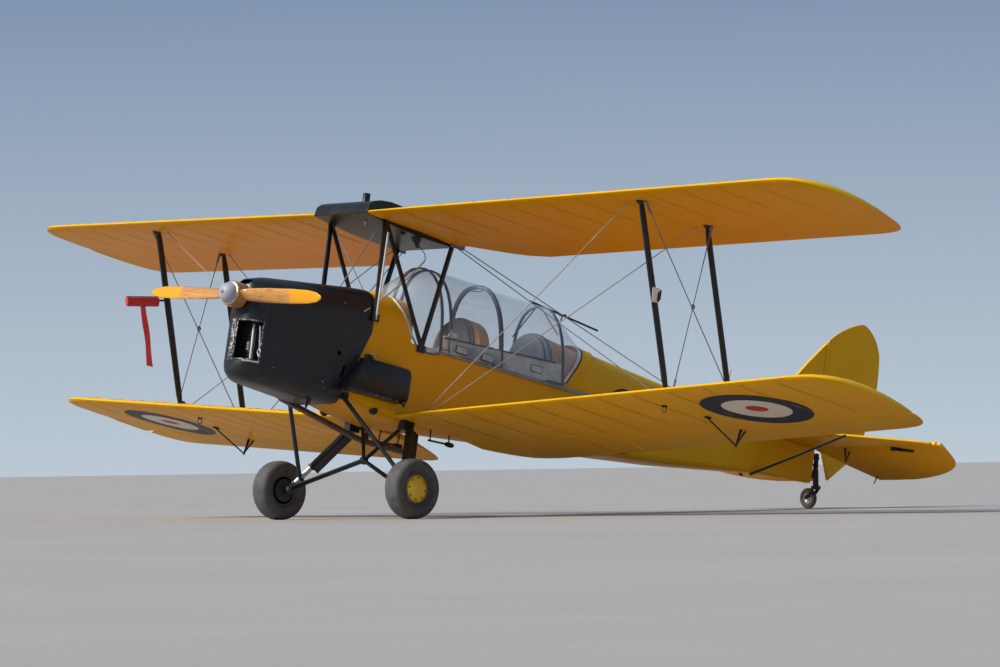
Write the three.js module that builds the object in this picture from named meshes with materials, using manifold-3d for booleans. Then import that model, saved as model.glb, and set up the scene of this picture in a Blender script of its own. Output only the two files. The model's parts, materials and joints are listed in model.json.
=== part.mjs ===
// A two-seat training biplane with a glazed sliding canopy, standing on its wheels with its tail down.
// Lengths are millimetres. The airframe is modelled level: x aft from the propeller, y to starboard, z up
// from the thrust line. At the end the whole airframe is pitched nose-up onto its wheels, which are
// modelled level with the ground: x aft, z up from the ground.
import * as THREE from "three";
import { mergeVertices } from "three/addons/utils/BufferGeometryUtils.js";
import Module from "manifold-3d";

const wasm = await Module();
wasm.setup();
const { PI, abs, cos, max, min, pow, sin, sqrt } = Math;

// How it stands
const GROUND_ANGLE = 0.20927;
const THRUST_HEIGHT = 1741.8;
const SEAT_GAP = 0.3;
const RUNNING_GAP = 7;

// Wings
const CHORD = 1340;
const SPAN_HALF = 4468;
const THICKNESS = 0.072;
const CAMBER = 0.034;
const SPARS = { front: 188, rear: 914 };
const STRUT_Y = 2818;
const UPPER = { root: 312, x: 969, z: 855, sweep: 0.1164, dihedral: 0.044, incidence: 0.069 };
const LOWER = { root: 313.4, x: 1544, z: -634.6, sweep: 0.098, dihedral: 0.0774, incidence: 0.078 };
// Leading and trailing edge behind the straight leading edge line, along the chord, from the root to the tip
const TIP = [
  { y: 4080, lead: 0, trail: 1340 },
  { y: 4240, lead: 12, trail: 1315 },
  { y: 4345, lead: 62, trail: 1235 },
  { y: 4415, lead: 170, trail: 1085 },
  { y: 4453, lead: 325, trail: 880 },
  { y: SPAN_HALF, lead: 490, trail: 700 },
];
// Curved cut-outs at the roots' trailing edges
const UPPER_ROOT = [
  { y: 312, trail: 945 },
  { y: 430, trail: 965 },
  { y: 570, trail: 1110 },
  { y: 740, trail: 1265 },
  { y: 930, trail: 1340 },
];
const LOWER_ROOT = [
  { y: LOWER.root, trail: 960 },
  { y: 420, trail: 1130 },
  { y: 560, trail: 1270 },
  { y: 760, trail: 1325 },
  { y: 960, trail: 1340 },
];
const AILERON = { from: 1620, to: 4330, hinge: 1045, gap: 8, endGap: 14, blocks: [1900, 2900, 3900] };
const TANK_HUMP = 134;
const TANK_LENGTH = 945;

// Struts and wires
const WIRE = 8;
const CABANE = { footY: 326, headY: 318, skinY: 300, front: { x: 1188, z: 73 }, rear: { x: 1701, z: -63 } };
const FLYING_ROOT = { x: 1733, y: 335, z: -660 };
const LANDING_HEAD = { x: 1918, y: 343, z: 797 };
const PITOT = { x: 1690, z: 410, length: 500, cover: 135 };

// Fuselage sections, front to back: floor, half width, where the sides end, top, lower corner radius
const STERN = 6482;
const FUSELAGE = [
  { x: 960, floor: -600, half: 300, side: 60, top: 290, corner: 70 },
  { x: 1370, floor: -665, half: 311, side: 60, top: 312, corner: 66 },
  { x: 1700, floor: -690, half: 313, side: 20, top: 316, corner: 60 },
  { x: 2600, floor: -600, half: 313, side: -10, top: 340, corner: 50 },
  { x: 3300, floor: -530, half: 300, side: 10, top: 352, corner: 45 },
  { x: 3700, floor: -490, half: 270, side: 15, top: 330, corner: 45 },
  { x: 4700, floor: -390, half: 185, side: 30, top: 250, corner: 45 },
  { x: 5700, floor: -252, half: 105, side: 55, top: 178, corner: 40 },
  { x: STERN, floor: -183, half: 34, side: 80, top: 148, corner: 17 },
];
const COCKPIT = { front: 1600, rear: 3300, half: 288, floor: -480, seats: [1990, 2850] };

// Nose: cowl sections with the same columns, and the cowl's rear edge as x, z
const COWL_SKIN = 9;
const COWL_STATIONS = [
  { x: 98, floor: -575, half: 62, side: -60, top: 120, corner: 55 },
  { x: 115, floor: -600, half: 110, side: -50, top: 138, corner: 80 },
  { x: 150, floor: -622, half: 145, side: -40, top: 152, corner: 100 },
  { x: 200, floor: -640, half: 172, side: -25, top: 167, corner: 110 },
  { x: 262, floor: -648, half: 195, side: -10, top: 184, corner: 110 },
  { x: 1075, floor: -663, half: 308, side: 90, top: 288, corner: 85 },
  { x: 1260, floor: -666, half: 314, side: 100, top: 306, corner: 75 },
];
const COWL_EDGE = [
  [1192, 900],
  [1192, -60],
  [985, -545],
  [975, -900],
];
const PANEL = {
  front: 262,
  rear: 1075,
  footRear: 905,
  foot: -548,
  waist: -120,
  hinge: [
    { x: 262, y: 195, z: -10 },
    { x: 1075, y: 308, z: 90 },
  ],
};
const ENGINE = { front: 210, rear: 900, half: 105, low: -500, high: 60 };
const OIL = { inner: 290, outer: 440, low: -551, high: -272, rear: 1560, cap: 1130 };
const EXHAUST = { y: 250, diameter: 48, route: [[780, -600], [860, -636], [1640, -776], [1760, -791], [2207, -787]] };

// Propeller: radius as a share of the whole, chord, thickness, and angle to the disc in degrees
const PROP = { radius: 1004, angle: 0.0564, front: -12, back: 84, boss: 100 };
const BLADE = [
  { r: 0.06, chord: 90, thick: 50, pitch: 55 },
  { r: 0.2, chord: 120, thick: 55, pitch: 45 },
  { r: 0.4, chord: 122, thick: 34, pitch: 31 },
  { r: 0.65, chord: 118, thick: 20, pitch: 22 },
  { r: 0.85, chord: 104, thick: 13, pitch: 18 },
  { r: 0.95, chord: 76, thick: 9, pitch: 16.5 },
  { r: 1, chord: 22, thick: 6, pitch: 16 },
];
const SPINNER = { tip: -113, radius: 84 };

// Canopy
const GLASS = 5;
const HOOP = 12;
const HOOP_WIDE = 24;
const CANOPY = { half: 318, top: 620, shoulder: 140, lean: 0.145, foot: -38, sill: -45, roof: 2.3 };
const SKIRT = { x: 2324, z: 79, slope: 0.0537 };
const RIM = { x: 3340, z: 30, slope: 1.04, lap: 12 };
const WINDSCREEN = { front: 1420, rear: 1838, frontLean: 0.25, rearLean: 0.11, frontHalf: 300, frontTop: 296 };
const FRONT_HOOD = { front: 1914, rear: 2495, inset: 0, runners: [[2010, 2070], [2480, 2540]] };
const REAR_HOOD = { front: 2470, rear: 3186, inset: 18, runners: [[3090, 3250]] };
const TAIL_GLASS = { half: 294, top: 345, shoulder: 80, foot: -20 };
const RAIL = { front: 1905, rear: 3804, inner: 313.3, outer: 327, low: -70, high: -47, brackets: [3320, 3510, 3700] };
const LEDGE = { front: 3200, rear: 3720, half: 281 };

// Landing gear, measured from the ground and from the wheels' own axle line
const WHEEL = { x: 1124, track: 774, radius: 232, width: 168, rim: 118, axle: 22, facets: 32 };
const GEAR = {
  hub: { x: 0, y: 652, z: 243 },
  top: { x: 372, y: 345, z: 705 },
  rod: { x: -281, y: 318, z: 940 },
  apex: { x: 202, y: 0, z: 456 },
  frame: { x: 398, y: 225, z: 702 },
};
const TAILWHEEL = { x: 6400, radius: 87, width: 46, rim: 45, axle: 7.5, facets: 20, trail: 88 };
const TAIL_STEM = { low: 185, top: 215 };

// Tail: plane of the tailplane, hinge lines, and outlines
const TAIL_HINGE = { x: 6440, z: 120, droop: 0.363, nose: 17 };
const TAIL_BLOCKS = [300, 800, 1300];
const TAILPLANE = [
  { y: 0, lead: 5563, half: 18 },
  { y: 1100, lead: 6196, half: 14 },
  { y: 1280, lead: 6302, half: 13 },
  { y: 1370, lead: 6370, half: 11 },
  { y: 1405, lead: 6408, half: 10 },
];
const ELEVATOR = {
  inner: [
    { y: 50, trail: 20 },
    { y: 197, trail: 289 },
  ],
  outer: [
    { y: 390, trail: 535 },
    { y: 800, trail: 530 },
    { y: 1100, trail: 475 },
    { y: 1300, trail: 400 },
    { y: 1420, trail: 310 },
    { y: 1470, trail: 200 },
    { y: 1485, trail: 100 },
  ],
};
const RUDDER_HINGE = { x: 6508, nose: 17, low: 112, high: 1020, blocks: [240, 600, 940] };
const RUDDER = {
  foot: [
    { z: -117, lead: 6704, trail: 6713 },
    { z: 71, lead: 6600, trail: 6922 },
    { z: 98, lead: 6590, trail: 6940 },
  ],
  upper: [
    { z: 112, lead: 6508, trail: 6950 },
    { z: 300, lead: 6508, trail: 7060 },
    { z: 550, lead: 6508, trail: 7145 },
    { z: 800, lead: 6508, trail: 7165 },
    { z: 1010, lead: 6508, trail: 7150 },
    { z: 1067, lead: 6546, trail: 7135 },
    { z: 1125, lead: 6617, trail: 7105 },
    { z: 1180, lead: 6700, trail: 7062 },
    { z: 1232, lead: 6800, trail: 6996 },
    { z: 1255, lead: 6866, trail: 6950 },
    { z: 1261, lead: 6900, trail: 6922 },
  ],
};
const FIN = {
  edge: [
    { x: 5850, z: 110 },
    { x: 5868, z: 170 },
    { x: 5950, z: 300 },
    { x: 6177, z: 669 },
    { x: 6484, z: 1008 },
  ],
  foot: { x: 6484, z: 152 },
};

const v3 = (x, y, z) => new THREE.Vector3(x, y, z);

// Solids and booleans

function solid(geometry) {
  const bare = geometry.clone();
  bare.deleteAttribute("normal");
  bare.deleteAttribute("uv");
  const merged = mergeVertices(bare, 1e-3);
  return new wasm.Manifold(
    new wasm.Mesh({
      numProp: 3,
      vertProperties: merged.attributes.position.array,
      triVerts: new Uint32Array(merged.index.array),
    }),
  );
}

function geometryOf(made) {
  const mesh = made.getMesh();
  const geometry = new THREE.BufferGeometry();
  geometry.setAttribute("position", new THREE.BufferAttribute(mesh.vertProperties, 3));
  geometry.setIndex(new THREE.BufferAttribute(mesh.triVerts, 1));
  return geometry;
}

const join = (...pieces) => pieces.reduce((all, piece) => all.add(piece));
const cut = (body, ...tools) => tools.reduce((left, tool) => left.subtract(tool), body);
const shift = (made, x, y, z) => made.translate([x, y, z]);
const mirror = (made) => made.mirror([0, 1, 0]);

// The biggest of the bodies that a cut leaves
const largest = (made) => made.decompose().reduce((best, body) => (body.volume() > best.volume() ? body : best));

// Closed body through sections of equal point count; each section is a list of points.
function loft(sections) {
  const count = sections[0].length;
  const points = sections.flat();
  const faces = [];
  for (let s = 0; s + 1 < sections.length; s++) {
    for (let i = 0; i < count; i++) {
      const j = (i + 1) % count;
      const a = s * count + i;
      const b = s * count + j;
      faces.push(a, b, b + count, a, b + count, a + count);
    }
  }
  for (const [start, flip] of [[0, true], [(sections.length - 1) * count, false]]) {
    for (const [a, b, c] of capFaces(points.slice(start, start + count))) {
      if (flip) faces.push(start + c, start + b, start + a);
      else faces.push(start + a, start + b, start + c);
    }
  }
  return outward(points, faces);
}

function capFaces(ring) {
  const normal = v3(0, 0, 0);
  ring.forEach((p, i) => {
    normal.add(p.clone().cross(ring[(i + 1) % ring.length]));
  });
  const along = abs(normal.x) > abs(normal.y) ? "x" : "y";
  const drop = abs(normal.z) > max(abs(normal.x), abs(normal.y)) ? "z" : along;
  const [first, second] = { x: ["y", "z"], y: ["z", "x"], z: ["x", "y"] }[drop];
  const flat = ring.map((p) => new THREE.Vector2(p[first], p[second]));
  const order = THREE.ShapeUtils.isClockWise(flat) ? -1 : 1;
  const shape = order < 0 ? flat.slice().reverse() : flat;
  const index = (i) => (order < 0 ? ring.length - 1 - i : i);
  const wound = THREE.ShapeUtils.triangulateShape(shape, []).map((f) => f.map(index));
  return order < 0 ? wound.map(([a, b, c]) => [c, b, a]) : wound;
}

function outward(points, faces) {
  let volume = 0;
  for (let i = 0; i < faces.length; i += 3) {
    const [a, b, c] = [points[faces[i]], points[faces[i + 1]], points[faces[i + 2]]];
    volume += a.dot(b.clone().cross(c));
  }
  const turned = [];
  for (let i = 0; i < faces.length; i += 3) {
    if (volume < 0) turned.push(faces[i], faces[i + 2], faces[i + 1]);
    else turned.push(faces[i], faces[i + 1], faces[i + 2]);
  }
  const geometry = new THREE.BufferGeometry();
  geometry.setAttribute(
    "position",
    new THREE.Float32BufferAttribute(points.flatMap((p) => [p.x, p.y, p.z]), 3),
  );
  geometry.setIndex(turned);
  return solid(geometry);
}

// Box from its two opposite corners
function box(x0, x1, y0, y1, z0, z1) {
  const shape = new THREE.BoxGeometry(x1 - x0, y1 - y0, z1 - z0);
  shape.translate((x0 + x1) / 2, (y0 + y1) / 2, (z0 + z1) / 2);
  return solid(shape);
}

// Prism of an outline in the x-z plane, from y0 to y1
function sidePrism(outline, y0, y1) {
  const at = (y) => outline.map(([x, z]) => v3(x, y, z));
  return loft([at(y0), at(y1)]);
}

// Straight bar between two points; the section is an ellipse, its long axis along the airflow
function bar(from, to, chord, thick, sides = 10, taper = []) {
  const along = to.clone().sub(from).normalize();
  const wind = abs(along.x) > 0.999 ? v3(0, 1, 0) : v3(1, 0, 0);
  const flow = wind.addScaledVector(along, -wind.dot(along)).normalize();
  const side = along.clone().cross(flow);
  const stations = taper.length ? taper : [{ at: 0, scale: 1 }, { at: 1, scale: 1 }];
  return loft(
    stations.map(({ at, scale }) => {
      const centre = from.clone().lerp(to, at);
      return Array.from({ length: sides }, (_, i) => {
        const angle = (2 * PI * (i + 0.5)) / sides;
        return centre
          .clone()
          .addScaledVector(flow, (cos(angle) * chord * scale) / 2)
          .addScaledVector(side, (sin(angle) * thick * scale) / 2);
      });
    }),
  );
}

const rod = (from, to, diameter, sides = 8) => bar(from, to, diameter, diameter, sides);

// Round pipe through points, mitred at each
function pipe(points, diameter, sides = 16) {
  const rings = points.map((p, i) => {
    const before = points[max(0, i - 1)];
    const after = points[min(points.length - 1, i + 1)];
    const along = after.clone().sub(before).normalize();
    const up = v3(0, 0, 1).addScaledVector(along, -along.z).normalize();
    const side = along.clone().cross(up);
    return Array.from({ length: sides }, (_, k) => {
      const angle = (2 * PI * k) / sides;
      return p
        .clone()
        .addScaledVector(up, (cos(angle) * diameter) / 2)
        .addScaledVector(side, (sin(angle) * diameter) / 2);
    });
  });
  return loft(rings);
}

// Body turned about an axis through `at`; profile is [along, radius], closed or ending on the axis
function turned(profile, facets, at, axis) {
  const points = profile.map(([along, radius]) => new THREE.Vector2(radius, along));
  const make = (outline) => {
    const lathe = new THREE.LatheGeometry(outline, facets, PI / facets);
    lathe.applyQuaternion(new THREE.Quaternion().setFromUnitVectors(v3(0, 1, 0), axis));
    return solid(lathe.translate(at.x, at.y, at.z));
  };
  const made = make(points);
  return made.volume() > 0 ? made : make(points.reverse());
}

// A point given level with the ground, x from the main wheels' contact, in airframe axes
function fromGround(x, y, z) {
  const [along, up] = [x, z - THRUST_HEIGHT];
  return v3(
    along * cos(GROUND_ANGLE) - up * sin(GROUND_ANGLE),
    y,
    along * sin(GROUND_ANGLE) + up * cos(GROUND_ANGLE),
  );
}

// Rows of a table with rows between them on a smooth curve, `steps` for each span, so that an outline through them is round
function rounded(rows, steps) {
  const last = rows.length - 1;
  const between = rows.slice(0, last).flatMap((row, i) => {
    const [a, c, d] = [rows[max(0, i - 1)], rows[i + 1], rows[min(last, i + 2)]];
    const curve = (key, t) =>
      row[key] +
      0.5 * t * (c[key] - a[key]) +
      0.5 * t * t * (2 * a[key] - 5 * row[key] + 4 * c[key] - d[key]) +
      0.5 * t ** 3 * (3 * row[key] - a[key] - 3 * c[key] + d[key]);
    return Array.from({ length: steps }, (_, k) =>
      Object.fromEntries(Object.keys(row).map((key) => [key, curve(key, k / steps)])),
    );
  });
  return [...between, rows[last]];
}

// Wings

const STATIONS = [0, 0.012, 0.05, 0.12, 0.24, 0.4, 0.6, 0.8, 1];

function aerofoilHalf(s, thickness) {
  return 5 * thickness * (0.2969 * sqrt(s) - 0.126 * s - 0.3516 * s * s + 0.2843 * s ** 3 - 0.1036 * s ** 4);
}

// Point on a wing: span station, distance along the chord from the straight leading edge line, height off it
function onWing(wing, y, along, off = 0) {
  const out = abs(y) - wing.root;
  return v3(
    wing.x + wing.sweep * out + along * cos(wing.incidence) + off * sin(wing.incidence),
    y,
    wing.z + wing.dihedral * out - along * sin(wing.incidence) + off * cos(wing.incidence),
  );
}

function wingSection(wing, { y, lead = 0, trail }) {
  const chord = trail - lead;
  const deep = THICKNESS * min(1, 0.25 + chord / CHORD);
  const rise = (s) => 4 * CAMBER * s * (1 - s) * chord;
  const place = (s, side) => onWing(wing, y, lead + s * chord, rise(s) + side * aerofoilHalf(s, deep) * chord);
  const over = STATIONS.map((s) => place(s, 1));
  const under = STATIONS.slice(1, -1).map((s) => place(s, -1));
  return over.concat(under.reverse());
}

const wingPanel = (wing, root) =>
  loft([...rounded(root, 2), ...rounded(TIP, 3)].map((station) => wingSection(wing, station)));

const NOSE_S = AILERON.hinge / CHORD;
const AILERON_NOSE = aerofoilHalf(NOSE_S, THICKNESS) * CHORD + 3;
const AILERON_RISE = 4 * CAMBER * NOSE_S * (1 - NOSE_S) * CHORD;

// Four-sided prism along a wing, between two chord stations and two heights off the chord line
function wingPrism(wing, y0, y1, along0, along1, off0, off1) {
  const frame = (y) => [
    onWing(wing, y, along0, off0),
    onWing(wing, y, along1, off0),
    onWing(wing, y, along1, off1),
    onWing(wing, y, along0, off1),
  ];
  return loft([frame(y0), frame(y1)]);
}

// The lower wing with its aileron bay, and the blocks on the rear spar that the aileron's nose turns against
function lowerWing(whole) {
  const face = AILERON.hinge - AILERON_NOSE;
  const bay = wingPrism(LOWER, AILERON.from, SPAN_HALF + 200, face - AILERON.gap, 2000, -200, 200);
  const blocks = AILERON.blocks.map((y) =>
    wingPrism(LOWER, y, y + 40, face - 60, face - SEAT_GAP, AILERON_RISE - 12, AILERON_RISE + 12),
  );
  return join(cut(whole, bay), ...blocks);
}

function aileron(whole) {
  const root = AILERON.from + AILERON.endGap;
  const blade = whole.intersect(wingPrism(LOWER, root, SPAN_HALF + 200, AILERON.hinge, 2000, -200, 200));
  const ends = [root, AILERON.to].map((y) => onWing(LOWER, y, AILERON.hinge, AILERON_RISE));
  const nose = bar(ends[0], ends[1], 2 * AILERON_NOSE, 2 * AILERON_NOSE, 24);
  return join(blade, nose.intersect(box(0, 9000, root, 5000, -2000, 2000)));
}

// Struts and wires

const STRUT_TAPER = [
  { at: 0, scale: 0.5 },
  { at: 0.08, scale: 0.9 },
  { at: 0.5, scale: 1 },
  { at: 0.92, scale: 0.9 },
  { at: 1, scale: 0.5 },
];

// Trims a piece so that it stops just short of the wings above and below it
function betweenWings(made, { upper, lower }) {
  const above = [upper, shift(upper, 0, 0, -SEAT_GAP), shift(upper, SEAT_GAP, 0, 0)];
  return largest(cut(made, ...above, lower, shift(lower, 0, 0, SEAT_GAP)));
}

function interplaneStrut(spar, wings) {
  const foot = onWing(LOWER, STRUT_Y + 6, SPARS[spar], 20);
  const head = onWing(UPPER, STRUT_Y - 6, SPARS[spar], 20);
  return betweenWings(bar(foot, head, 66, 30, 12, STRUT_TAPER), wings);
}

// The N of struts that carries the centre section on one side
function cabane(keepOut) {
  const head = (spar) => onWing(UPPER, UPPER.root, SPARS[spar], 0).setY(CABANE.headY);
  const foot = (end) => v3(CABANE[end].x, CABANE.footY, CABANE[end].z);
  const struts = [
    bar(foot("front"), head("front"), 46, 26),
    bar(foot("rear"), head("rear"), 46, 26),
    bar(foot("rear"), head("front"), 40, 24),
  ];
  const shoes = ["front", "rear"].map((end) => {
    const { x, y, z } = foot(end);
    return box(x - 34, x + 34, CABANE.skinY, y + 12, z - 40, z + 15);
  });
  const rearSkin = box(1600, 1900, 0, RAIL.inner, -200, 200);
  return largest(cut(join(...struts, ...shoes), rearSkin, ...keepOut));
}

// Flying wires rise from the lower spar root to both strut heads, through one collar at the wing's surface
function flyingWires(wings) {
  const root = v3(FLYING_ROOT.x, FLYING_ROOT.y, FLYING_ROOT.z);
  const heads = ["front", "rear"].map((spar) => onWing(UPPER, STRUT_Y - 70, SPARS[spar], 20));
  const along = heads[0].clone().lerp(heads[1], 0.5).sub(root);
  const collar = bar(root, root.clone().addScaledVector(along, 0.065), 64, 30, 8);
  return betweenWings(join(collar, ...heads.map((head) => rod(root, head, WIRE, 6))), wings);
}

// Landing wires fall from the centre section's rear corner to both strut feet
function landingWires(wings) {
  const { x, y, z } = LANDING_HEAD;
  const plate = box(x - 74, x + 66, y - 9, y + 9, z - 24, z + 16);
  const wires = ["front", "rear"].map((spar, i) =>
    rod(v3(x - 45 + 90 * i, y, z - 10), onWing(LOWER, STRUT_Y - 70, SPARS[spar], 20), WIRE, 6),
  );
  return betweenWings(join(plate, ...wires), wings);
}

// Body sections: flat floor with rounded corners, flat sides and a rounded top

function arch(x, half, side, top, roof, steps) {
  return Array.from({ length: steps + 1 }, (_, i) => {
    const angle = (PI / 2) * (i / steps);
    const y = i === steps ? 0 : half * pow(cos(angle), 2 / roof);
    return v3(x, y, side + (top - side) * pow(sin(angle), 2 / roof));
  });
}

function bodySection({ x, floor, half, side, top, corner = 45 }, roof = 2.4) {
  const round = Array.from({ length: 4 }, (_, i) => {
    const angle = (PI / 2) * (i / 3);
    return v3(x, half - corner + corner * sin(angle), floor + corner - corner * cos(angle));
  });
  const right = round.concat(arch(x, half, side, top, roof, 7));
  const left = right.slice(0, -1).map((p) => v3(p.x, -p.y, p.z));
  return right.concat(left.reverse());
}

// Where the canopy's rear rim lies on the decking: x at height z
const rimX = (z) => RIM.x + RIM.slope * (z - RIM.z);

function fuselageShell(tailplane) {
  const outer = loft(FUSELAGE.map((station) => bodySection(station)));
  const behindCowl = sidePrism([...COWL_EDGE.map(([x, z]) => [x + SEAT_GAP, z]), [0, -900], [0, 900]], -500, 500);
  const { front, rear, half, floor } = COCKPIT;
  const room = box(front, rear, -half, half, floor, 900);
  const mouth = sidePrism(
    [
      [front, 900],
      [front, CANOPY.sill],
      [1650, -52],
      [1740, -85],
      [1830, -97],
      [1890, -82],
      [1925, CANOPY.sill],
      [rimX(CANOPY.sill), CANOPY.sill],
      [rimX(900), 900],
    ],
    -500,
    500,
  );
  const ledge = box(LEDGE.front, LEDGE.rear, LEDGE.half, 500, CANOPY.sill, 500);
  const { x, z, nose } = TAIL_HINGE;
  const hole = rod(v3(x, -300, z), v3(x, 300, z), 2 * (nose + RUNNING_GAP), 20);
  const slot = [-SEAT_GAP, SEAT_GAP].flatMap((gap) => [shift(tailplane, gap, 0, 0), shift(tailplane, 0, 0, gap)]);
  return largest(cut(outer, behindCowl, room, mouth, ledge, mirror(ledge), hole, ...slot));
}

// Nose cowl, its two side panels hinged along their tops, and the space it fills

function cowlLoft(inset) {
  return loft(
    COWL_STATIONS.map(({ x, floor, half, side, top, corner }, i) =>
      bodySection(
        {
          x: x + (i ? 0 : inset),
          floor: floor + inset,
          half: half - inset,
          side,
          top: top - inset,
          corner: corner - inset,
        },
        2.6,
      ),
    ),
  );
}

// What a side panel takes out of the starboard cowl, grown all round by `grow`
function panelRegion(grow) {
  const outline = [
    [PANEL.front - grow, 600],
    [PANEL.rear + grow, 600],
    [PANEL.rear + grow, PANEL.waist],
    [PANEL.footRear + grow, PANEL.foot - grow],
    [PANEL.front - grow, PANEL.foot - grow],
  ];
  const [fore, aft] = PANEL.hinge;
  const line = (x) => fore.z + grow + ((x - fore.x) * (aft.z - fore.z)) / (aft.x - fore.x);
  const above = [
    [0, line(0)],
    [1400, line(1400)],
    [1400, 900],
    [0, 900],
  ];
  return cut(sidePrism(outline, 60, 600), sidePrism(above, 0, 700));
}

// Hinge knuckles along the top edge of a side panel
function knuckles() {
  const [fore, aft] = PANEL.hinge.map(({ x, y, z }) => v3(x, y, z));
  return [0.08, 0.47, 0.86].map((share) => {
    const ends = [share, share + 0.06].map((t) => fore.clone().lerp(aft, t));
    return loft(
      ends.map(({ x, y, z }) => [
        v3(x, y - 8, z - 5),
        v3(x, y - 1, z - 5),
        v3(x, y - 1, z + RUNNING_GAP - SEAT_GAP),
        v3(x, y - 8, z + RUNNING_GAP - SEAT_GAP),
      ]),
    );
  });
}

function nose() {
  const outside = cut(cowlLoft(0), sidePrism([...COWL_EDGE, [1600, -900], [1600, 900]], -600, 600));
  const shell = cut(outside, cowlLoft(COWL_SKIN));
  const bay = panelRegion(RUNNING_GAP);
  const intake = box(40, 212, -300, -12, -480, -190);
  const inlet = box(40, 235, -66, 66, 96, 136);
  const shaft = rod(v3(0, 0, 0), v3(250, 0, 0), 120, 20);
  return {
    outside,
    frame: largest(cut(shell, bay, mirror(bay), intake, inlet, shaft)),
    side: join(largest(shell.intersect(panelRegion(0))), ...knuckles()),
  };
}

// Oil tank: a box with rounded outer edges on the port side, its front end slanting like the cowl's edge
function oilTank(keepOut) {
  const { inner, outer, low, high, rear } = OIL;
  const round = 44;
  const section = (x, inset) => {
    const slant = (z) => (x ? x : 1114 - ((high - z) * 163) / 245);
    const [y1, z0, z1] = [outer - inset, low + inset, high - inset];
    return [
      [inner, z0],
      [y1 - round, z0],
      [y1 - 0.3 * round, z0 + 0.3 * round],
      [y1, z0 + round],
      [y1, z1 - round],
      [y1 - 0.3 * round, z1 - 0.3 * round],
      [y1 - round, z1],
      [inner, z1],
    ].map(([y, z]) => v3(slant(z), y, z));
  };
  const whole = loft([section(0, 0), section(rear - 34, 0), section(rear - 8, 9), section(rear, 26)]);
  const cap = rod(v3(OIL.cap, outer - 62, high - 30), v3(OIL.cap, outer - 62, high + 28), 56, 16);
  return largest(cut(mirror(join(whole, cap)), ...keepOut));
}

function exhaustPipe(keepOut) {
  const { y, diameter, route } = EXHAUST;
  const tube = pipe(
    route.map(([x, z]) => v3(x, y, z)),
    diameter,
  );
  const strap = box(1766, 1790, y - 12, y + 12, -785, -640);
  return largest(cut(join(tube, strap), ...keepOut));
}

// Fuel tank in the upper centre section: a wing section with a humped top
function fuelTank() {
  const edge = UPPER.root - SEAT_GAP;
  const outline = (y) => {
    const place = (s, off) => onWing(UPPER, UPPER.root, s * TANK_LENGTH, off).setY(y);
    const hump = (s) => pow(max(0, sin(PI * pow(s, 0.62))), 0.6);
    const top = STATIONS.map((s) => place(s, 12 + TANK_HUMP * hump(s)));
    const bottom = STATIONS.map((s) => place(s, -12 - 22 * sin(PI * s))).reverse();
    return top.concat(bottom);
  };
  const cap = rod(v3(1206, 0, 940), v3(1206, 0, 1066), 58, 16);
  return join(loft([outline(-edge), outline(edge)]), cap);
}

// Canopy: leaning arches of glass between hoops, in a windscreen, a front hood and a rear hood with a glass tail

// Solid arch through stations; x is where a section meets the canopy's top line, and it leans aft going down
function archSolid(stations) {
  return loft(
    stations.map(({ x, half, top, shoulder = CANOPY.shoulder, foot = CANOPY.foot, lean = CANOPY.lean }) => {
      const right = [v3(x, half, foot), ...arch(x, half, shoulder, top, CANOPY.roof, 8)];
      const left = right.slice(0, -1).map((p) => v3(p.x, -p.y, p.z));
      return right.concat(left.reverse()).map((p) => v3(p.x + lean * (CANOPY.top - p.z), p.y, p.z));
    }),
  );
}

// The same arch as a shell, `thick` deep and open below
function archShell(stations, thick) {
  const inner = stations.map((s) => ({
    ...s,
    half: s.half - thick,
    top: s.top - thick,
    foot: (s.foot ?? CANOPY.foot) - 60,
  }));
  const [fore, aft] = [inner[0], inner[inner.length - 1]];
  return cut(
    archSolid(stations),
    archSolid([{ ...fore, x: fore.x - 60 }, ...inner, { ...aft, x: aft.x + 60 }]),
  );
}

function band(x0, x1, inset, thick) {
  const size = { half: CANOPY.half - inset, top: CANOPY.top - inset };
  return archShell([x0, x1].map((x) => ({ x, ...size })), thick);
}

const skirtZ = (x) => SKIRT.z + SKIRT.slope * (x - SKIRT.x);
const belowSkirt = (gap) =>
  sidePrism([[0, -900], [5000, -900], [5000, skirtZ(5000) + gap], [0, skirtZ(0) + gap]], -900, 900);

// A sliding hood: hoops and skirts that run on the sill rails, with the glass between the hoops
function hood({ front, rear, inset, runners }) {
  const hoops = [band(front, front + HOOP_WIDE, inset, HOOP), band(rear - HOOP_WIDE, rear, inset, HOOP)];
  const skirt = band(front + HOOP_WIDE - 4, rear - HOOP_WIDE + 4, inset + 2, HOOP - 4).intersect(belowSkirt(0));
  const outside = CANOPY.half - inset;
  const feet = runners.flatMap(([x0, x1]) => {
    const shoe = join(
      box(x0, x1, outside - 9, RAIL.outer - 2, CANOPY.foot, CANOPY.foot + 12),
      box(x0, x1, RAIL.inner + 2, RAIL.outer - 2, RAIL.high + SEAT_GAP, CANOPY.foot + 12),
    );
    return [shoe, mirror(shoe)];
  });
  const pane = band(front + HOOP_WIDE + SEAT_GAP, rear - HOOP_WIDE - SEAT_GAP, inset + 3, GLASS);
  return { frame: join(...hoops, skirt, ...feet), glass: cut(pane, belowSkirt(SEAT_GAP)) };
}

// Glass tail of the rear hood, lapping over the decking at its rim
function tailGlass() {
  const { half, top, shoulder, foot } = TAIL_GLASS;
  const inset = REAR_HOOD.inset + 3;
  return archShell(
    [
      { x: REAR_HOOD.rear + SEAT_GAP, half: CANOPY.half - inset, top: CANOPY.top - inset, foot },
      { x: rimX(CANOPY.top) + RIM.lap, half, top, shoulder, foot, lean: -RIM.slope },
    ],
    GLASS,
  );
}

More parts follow.
